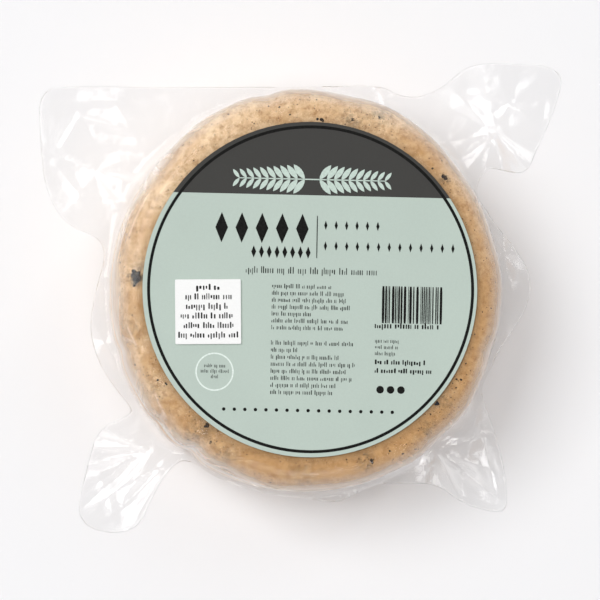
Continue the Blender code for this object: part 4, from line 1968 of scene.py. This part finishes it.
@dataclass
class RoundLabel:
    """The round paper label: mint paper with a charcoal top, a thin ring and plain generic print."""

    turn: float = math.radians(-1.03)
    band_from: float = 26.1 * MM
    ring_radius: float = 45.02 * MM
    ring_line: float = 0.83 * MM
    ring_centre: tuple = (0.19 * MM, 0.07 * MM)
    seal_centre: tuple = (-26.14 * MM, -23.35 * MM)
    seal_radius: float = 5.1 * MM
    seal_line: float = 0.42 * MM
    sprig_pairs: int = 10
    sprig_half: float = 20.2 * MM
    sprig_y: float = 30.5 * MM
    sprig_line: float = 0.32 * MM
    bar_module: float = 0.173 * MM
    bars_from: float = 20.0 * MM
    bars_to: float = 36.4 * MM
    bars_y: float = -3.8 * MM
    bars_tall: float = 10.3 * MM
    seed: int = 5
    black: InkFinish = InkFinish("black_ink", (0.004, 0.004, 0.0035))
    pale: InkFinish = InkFinish("pale_ink", (0.52, 0.62, 0.56))
    bright: InkFinish = InkFinish("light_ink", (0.72, 0.80, 0.75))
    mint: tuple = (0.50, 0.585, 0.528)
    charcoal: tuple = (0.052, 0.051, 0.048)
    blocks: tuple = (
        TextBlock(-18.0, 4.9, 0.0, (36.5,), 1.35, 0.15),
        TextBlock(-10.6, 0.6, 1.91, (16.5, 20.2, 20.4, 21.6, 11.0, 21.0, 20.0), 0.9, 0.19),
        TextBlock(-10.6, -15.1, 1.95, (22.5, 7.4, 19.0, 23.4, 20.6, 22.4, 18.0, 17.0), 0.9, 0.19),
        TextBlock(18.3, -14.0, 1.74, (6.8, 6.3, 5.6), 0.8, 0.18),
        TextBlock(18.3, -19.9, 2.38, (14.2, 15.6), 0.95, 0.36),
    )

    def dress(self) -> None:
        """Give the label's own solid its printed paper."""
        finish = PaperFinish("printed_paper", self.mint, self.charcoal, self.band_from, self.turn)
        dress_solid("round_label", finish.make())

    def sprig(self) -> tuple[list[Mark], list[Mark]]:
        """Return the leaves and the stem of the pale sprig on the charcoal.

        Returns:
            The leaves and the stem.
        """
        leaves = []
        for number in (*range(-self.sprig_pairs, 0), *range(1, self.sprig_pairs + 1)):
            share = number / self.sprig_pairs
            size = (5.4 - 2.4 * abs(share)) * MM
            lean = math.radians(52.0) if number > 0 else math.radians(128.0)
            for turn in (lean, -lean):
                x = self.sprig_half * share + 0.5 * size * math.cos(turn)
                y = self.sprig_y + 0.5 * size * math.sin(turn)
                leaves.append(Mark(x, y, size, 0.34 * size, turn))
        stem = [Mark(0.0, self.sprig_y, 2.0 * self.sprig_half, self.sprig_line)]
        return leaves, stem

    def frieze(self) -> list[Mark]:
        """Return the dark lozenges in the title's place.

        Returns:
            The marks.
        """
        large = mark_row(5, -24.9, 5.6, 16.7, 3.5, 8.4)
        middle = mark_row(8, -15.9, 2.16, 10.15, 1.35, 3.4)
        small = mark_row(6, 4.0, 2.9, 17.85, 0.9, 2.6) + mark_row(13, 4.0, 2.96, 12.1, 0.9, 2.6)
        return large + middle + small

    def dots(self) -> list[Mark]:
        """Return the round marks: the row along the label's foot and the three in the weight's place."""
        marks = mark_row(17, -23.4, 2.925, -33.6, 0.95, 0.95)
        return marks + mark_row(3, 19.9, 2.9, -27.4, 2.1, 2.1)

    def rows(self) -> list[Mark]:
        """Return the cells that stand in for all small print, and the thin dividing line.

        Returns:
            The marks.
        """
        draw = random.Random(self.seed)
        marks = [Mark(1.63 * MM, 14.56 * MM, 0.26 * MM, 11.8 * MM)]
        for block in self.blocks:
            marks += text_marks(block, draw)
        for number, width in enumerate((5.8, 7.6, 1.9)):
            middle = self.seal_centre[0] / MM - 0.5 * width
            block = TextBlock(middle, -21.8 - 1.5 * number, 0.0, (width,), 0.75, 0.17)
            marks += text_marks(block, draw)
        marks += text_marks(TextBlock(18.1, -9.8, 0.0, (18.0,), 1.2, 0.26), draw)
        return marks

    def barcode(self) -> list[Mark]:
        """Return a made-up set of upright bars.

        Returns:
            The marks.
        """
        draw = random.Random(self.seed + 1)
        marks = []
        x = self.bars_from
        while x < self.bars_to:
            wide = self.bar_module * draw.choice((1, 2, 2, 3, 4))
            marks.append(Mark(x + 0.5 * wide, self.bars_y, wide, self.bars_tall))
            x += wide + self.bar_module * draw.choice((1, 1, 1, 1, 2, 3))
        return marks

    def build(self) -> None:
        """Dress the label and print it."""
        self.dress()
        black, pale = self.black.make(), self.pale.make()
        printer = Printer(self.turn, (0.0, 0.0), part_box("round_label")[1].z, "mint_paper")
        leaves, stem = self.sprig()
        printer.print("label_sprig_leaves", Stamp.LEAF, leaves, pale)
        printer.print("label_sprig_stem", Stamp.CELL, stem, pale)
        printer.print("label_frieze", Stamp.LOZENGE, self.frieze(), black)
        printer.print("label_dots", Stamp.DISC, self.dots(), black)
        printer.print("label_small_print", Stamp.CELL, self.rows(), black)
        printer.print("label_bars", Stamp.CELL, self.barcode(), black)
        printer.ring("label_ring", self.ring_centre, self.ring_radius, self.ring_line, black)
        bright = self.bright.make()
        printer.ring("label_small_ring", self.seal_centre, self.seal_radius, self.seal_line, bright)


def text_marks(block: TextBlock, draw: random.Random) -> list[Mark]:
    """Return rows of small cells, grouped like words, that stand in for print.

    Args:
        block: the rows' place and size, in millimetres.
        draw: the source of random choices.

    Returns:
        The marks, in metres.
    """
    marks = []
    for row, width in enumerate(block.widths):
        y = block.top - row * block.pitch
        x = block.left - 0.5 * width if block.centred else block.left
        end = x + width
        while x < end:
            letters = draw.randint(2, 8)
            for _ in range(letters):
                if x > end:
                    break
                wide = block.size * block.weight * draw.uniform(0.8, 1.5)
                kind = draw.random()
                tall, shift = block.size, 0.0
                if kind < 0.22:
                    tall, shift = 1.4 * block.size, 0.2 * block.size
                elif kind < 0.32:
                    tall, shift = 1.35 * block.size, -0.17 * block.size
                elif kind < 0.5:
                    tall, shift = 0.7 * block.size, draw.choice((-0.12, 0.12)) * block.size
                marks.append(Mark((x + 0.5 * wide) * MM, (y + shift) * MM, wide * MM, tall * MM))
                x += wide + block.size * draw.uniform(0.2, 0.36)
            x += 0.55 * block.size
    return marks


@dataclass
class SmallSticker:
    """The small white sticker on the label, with rows of plain marks."""

    turn: float = math.radians(0.5)
    seed: int = 9
    paper: tuple = (0.93, 0.93, 0.92)
    black: InkFinish = InkFinish("sticker_ink", (0.012, 0.012, 0.012))
    widths: tuple = (12.5, 12.2, 15.2, 13.6, 16.6)

    def build(self) -> None:
        """Dress the sticker and print it."""
        dress_solid("small_sticker", PaperFinish("sticker_paper", self.paper).make())
        low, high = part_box("small_sticker")
        middle = (0.5 * (low.x + high.x), 0.5 * (low.y + high.y))
        printer = Printer(self.turn, middle, high.z, "white_paper")
        draw = random.Random(self.seed)
        marks = text_marks(TextBlock(0.0, 6.6, 0.0, (6.5,), 1.2, 0.4, True), draw)
        marks += text_marks(TextBlock(0.0, 4.0, 2.65, self.widths, 1.2, 0.26, True), draw)
        printer.print("sticker_print", Stamp.CELL, marks, self.black.make())


# Stage


@dataclass(frozen=True)
class Lamp:
    """One soft light: the direction it comes from, its distance, its two sizes in metres and its power."""

    name: str
    direction: tuple
    distance: float
    wide: float
    tall: float
    power: float
    mirrored: bool = True

    def hang(self) -> None:
        """Hang the light, facing the cheese."""
        light = bpy.data.lights.new(self.name, "AREA")
        light.shape = "RECTANGLE"
        light.size = self.wide
        light.size_y = self.tall
        light.energy = self.power
        lamp = bpy.data.objects.new(self.name, light)
        away = Vector(self.direction).normalized()
        lamp.location = away * self.distance
        lamp.rotation_euler = away.to_track_quat("Z", "Y").to_euler()
        lamp.visible_glossy = self.mirrored
        bpy.context.scene.collection.objects.link(lamp)


@dataclass
class Studio:
    """The pale floor, the soft light from the upper left, and the camera above the cheese."""

    aim: tuple = (-1.11 * MM, -2.05 * MM, 21.0 * MM)
    tilt: float = math.radians(5.2)
    towards: float = math.radians(207.7)
    distance: float = 1.6
    view_width: float = 168.4 * MM
    sensor: float = 36.0
    key: Lamp = Lamp("key", (-0.60, 0.27, 1.0), 5.5, 2.7, 2.7, 154.0, False)
    top: Lamp = Lamp("top", (0.0, 0.0, 1.0), 6.5, 3.09, 3.09, 119.0, False)
    edge: Lamp = Lamp("edge", (0.45, 0.5, 0.74), 2.6, 0.24, 1.4, 3.9)
    dim_room: float = 0.32
    pale_room: float = 0.86
    tent_dark: float = 0.08
    tent_middle: float = 0.62
    tent_swing: float = 0.3
    tent_towards: tuple = (-0.874, 0.486, 0.0)
    hole_middle: tuple = (0.08, 0.042, 0.996)
    hole_start: float = 0.985
    hole_end: float = 0.80
    low_cloth: float = 0.9
    low_start: float = 0.75
    low_end: float = 0.25
    fore_middle: tuple = (0.06, -0.60, 0.798)
    fore_start: float = 0.997
    fore_end: float = 0.986
    fore_glow: float = 11.0
    glow_middle: tuple = (-0.435, 0.235, 0.870)
    glow_start: float = 0.990
    glow_end: float = 0.935
    glow: float = 5.0
    floor_colour: tuple = (0.915, 0.912, 0.925)
    floor_size: float = 3.0
    floor_drop: float = 0.05 * MM

    def make_floor(self) -> None:
        """Lay a plain pale floor under the cheese."""
        half = 0.5 * self.floor_size
        corners = np.array([(-half, -half, 0.0), (half, -half, 0.0), (half, half, 0.0), (-half, half, 0.0)])
        corners[:, 2] = -self.floor_drop
        look = Look("floor")
        shade = look.between(look.noise(300.0 * MM, 2.0), 0.2, 0.8)
        darker = tuple(0.99 * part for part in self.floor_colour)
        links = {
            "Base Color": look.blend(shade, darker, self.floor_colour),
            "Roughness": 0.9,
            "Specular IOR Level": 0.1,
        }
        material = look.finish(look.add("ShaderNodeBsdfPrincipled", links))
        new_piece("floor", corners, [(0, 1, 2, 3)], material)

    def make_lights(self) -> None:
        """Hang the soft lights."""
        for lamp in (self.key, self.top, self.edge):
            lamp.hang()

    def make_room(self) -> None:
        """Set up the room: pale to look at, dim as a light, and in reflections a light tent.

        The tent is brighter to the upper left and near the floor, and glows softly where the key light
        is and in a smaller spot in front. Its dark hole overhead is where the lens looks through.
        """
        world = bpy.data.worlds.new("studio")
        world.use_nodes = True
        room = Board(world.node_tree)
        way = room.add("ShaderNodeTexCoord").outputs["Generated"]

        def towards(direction: tuple) -> Socket:
            """Return how closely a ray goes in a direction, from -1 to 1."""
            links = {0: way, 1: direction}
            return room.add("ShaderNodeVectorMath", links, operation="DOT_PRODUCT").outputs["Value"]

        darkest, brightest = self.tent_middle - self.tent_swing, self.tent_middle + self.tent_swing
        cloth = room.between(towards(self.tent_towards), -1.0, 1.0, darkest, brightest)
        low = room.between(towards((0.0, 0.0, 1.0)), self.low_start, self.low_end, 0.0, self.low_cloth)
        cloth = room.sum("ADD", cloth, low)
        fore = room.between(towards(self.fore_middle), self.fore_end, self.fore_start, 0.0, self.fore_glow)
        cloth = room.sum("ADD", cloth, fore)
        past_hole = room.between(towards(self.hole_middle), self.hole_start, self.hole_end)
        tent = room.sum("ADD", room.times(cloth, past_hole), self.tent_dark)
        glow = room.between(towards(self.glow_middle), self.glow_end, self.glow_start)
        tent = room.sum("ADD", tent, room.times(glow, self.glow))
        rays = room.add("ShaderNodeLightPath").outputs
        unseen = room.between(rays["Is Glossy Ray"], 0.0, 1.0, self.dim_room, tent)
        strength = room.between(rays["Is Camera Ray"], 0.0, 1.0, unseen, self.pale_room)
        background = world.node_tree.nodes["Background"].inputs
        room.tree.links.new(strength, background["Strength"])
        background["Color"].default_value = (1.0, 0.998, 1.004, 1.0)
        bpy.context.scene.world = world

    def make_camera(self) -> None:
        """Set the camera nearly straight above, leaning a little to the lower left."""
        back = Vector(
            (
                math.sin(self.tilt) * math.cos(self.towards),
                math.sin(self.tilt) * math.sin(self.towards),
                math.cos(self.tilt),
            )
        )
        right = Vector((0.0, 1.0, 0.0)).cross(back).normalized()
        up = back.cross(right)
        data = bpy.data.cameras.new("camera")
        data.sensor_width = self.sensor
        data.lens = self.sensor * self.distance / self.view_width
        data.clip_start, data.clip_end = 0.05, 20.0
        camera = bpy.data.objects.new("camera", data)
        turned = Matrix((right, up, back)).transposed().to_4x4()
        camera.matrix_world = Matrix.Translation(Vector(self.aim) + back * self.distance) @ turned
        bpy.context.scene.collection.objects.link(camera)
        bpy.context.scene.camera = camera

    def build(self) -> None:
        """Make the whole stage."""
        self.make_floor()
        self.make_lights()
        self.make_room()
        self.make_camera()
        bpy.context.scene.view_settings.view_transform = "Standard"


def main() -> None:
    """Build every piece in order, then the stage."""
    logging.basicConfig(level=logging.INFO, format="%(message)s")
    wheel = WheelForm()
    bag = BagForm(wheel)
    cheese = CheeseWheel(wheel)
    TruffleFlecks(wheel).build(cheese.build(), cheese.stains)
    film = FilmFinish().make()
    FilmWrap(wheel, bag).build(cheese, film)
    FilmFlaps(wheel, bag).build(film)
    RoundLabel().build()
    SmallSticker().build()
    Studio().build()


if __name__ == "__main__":
    main()
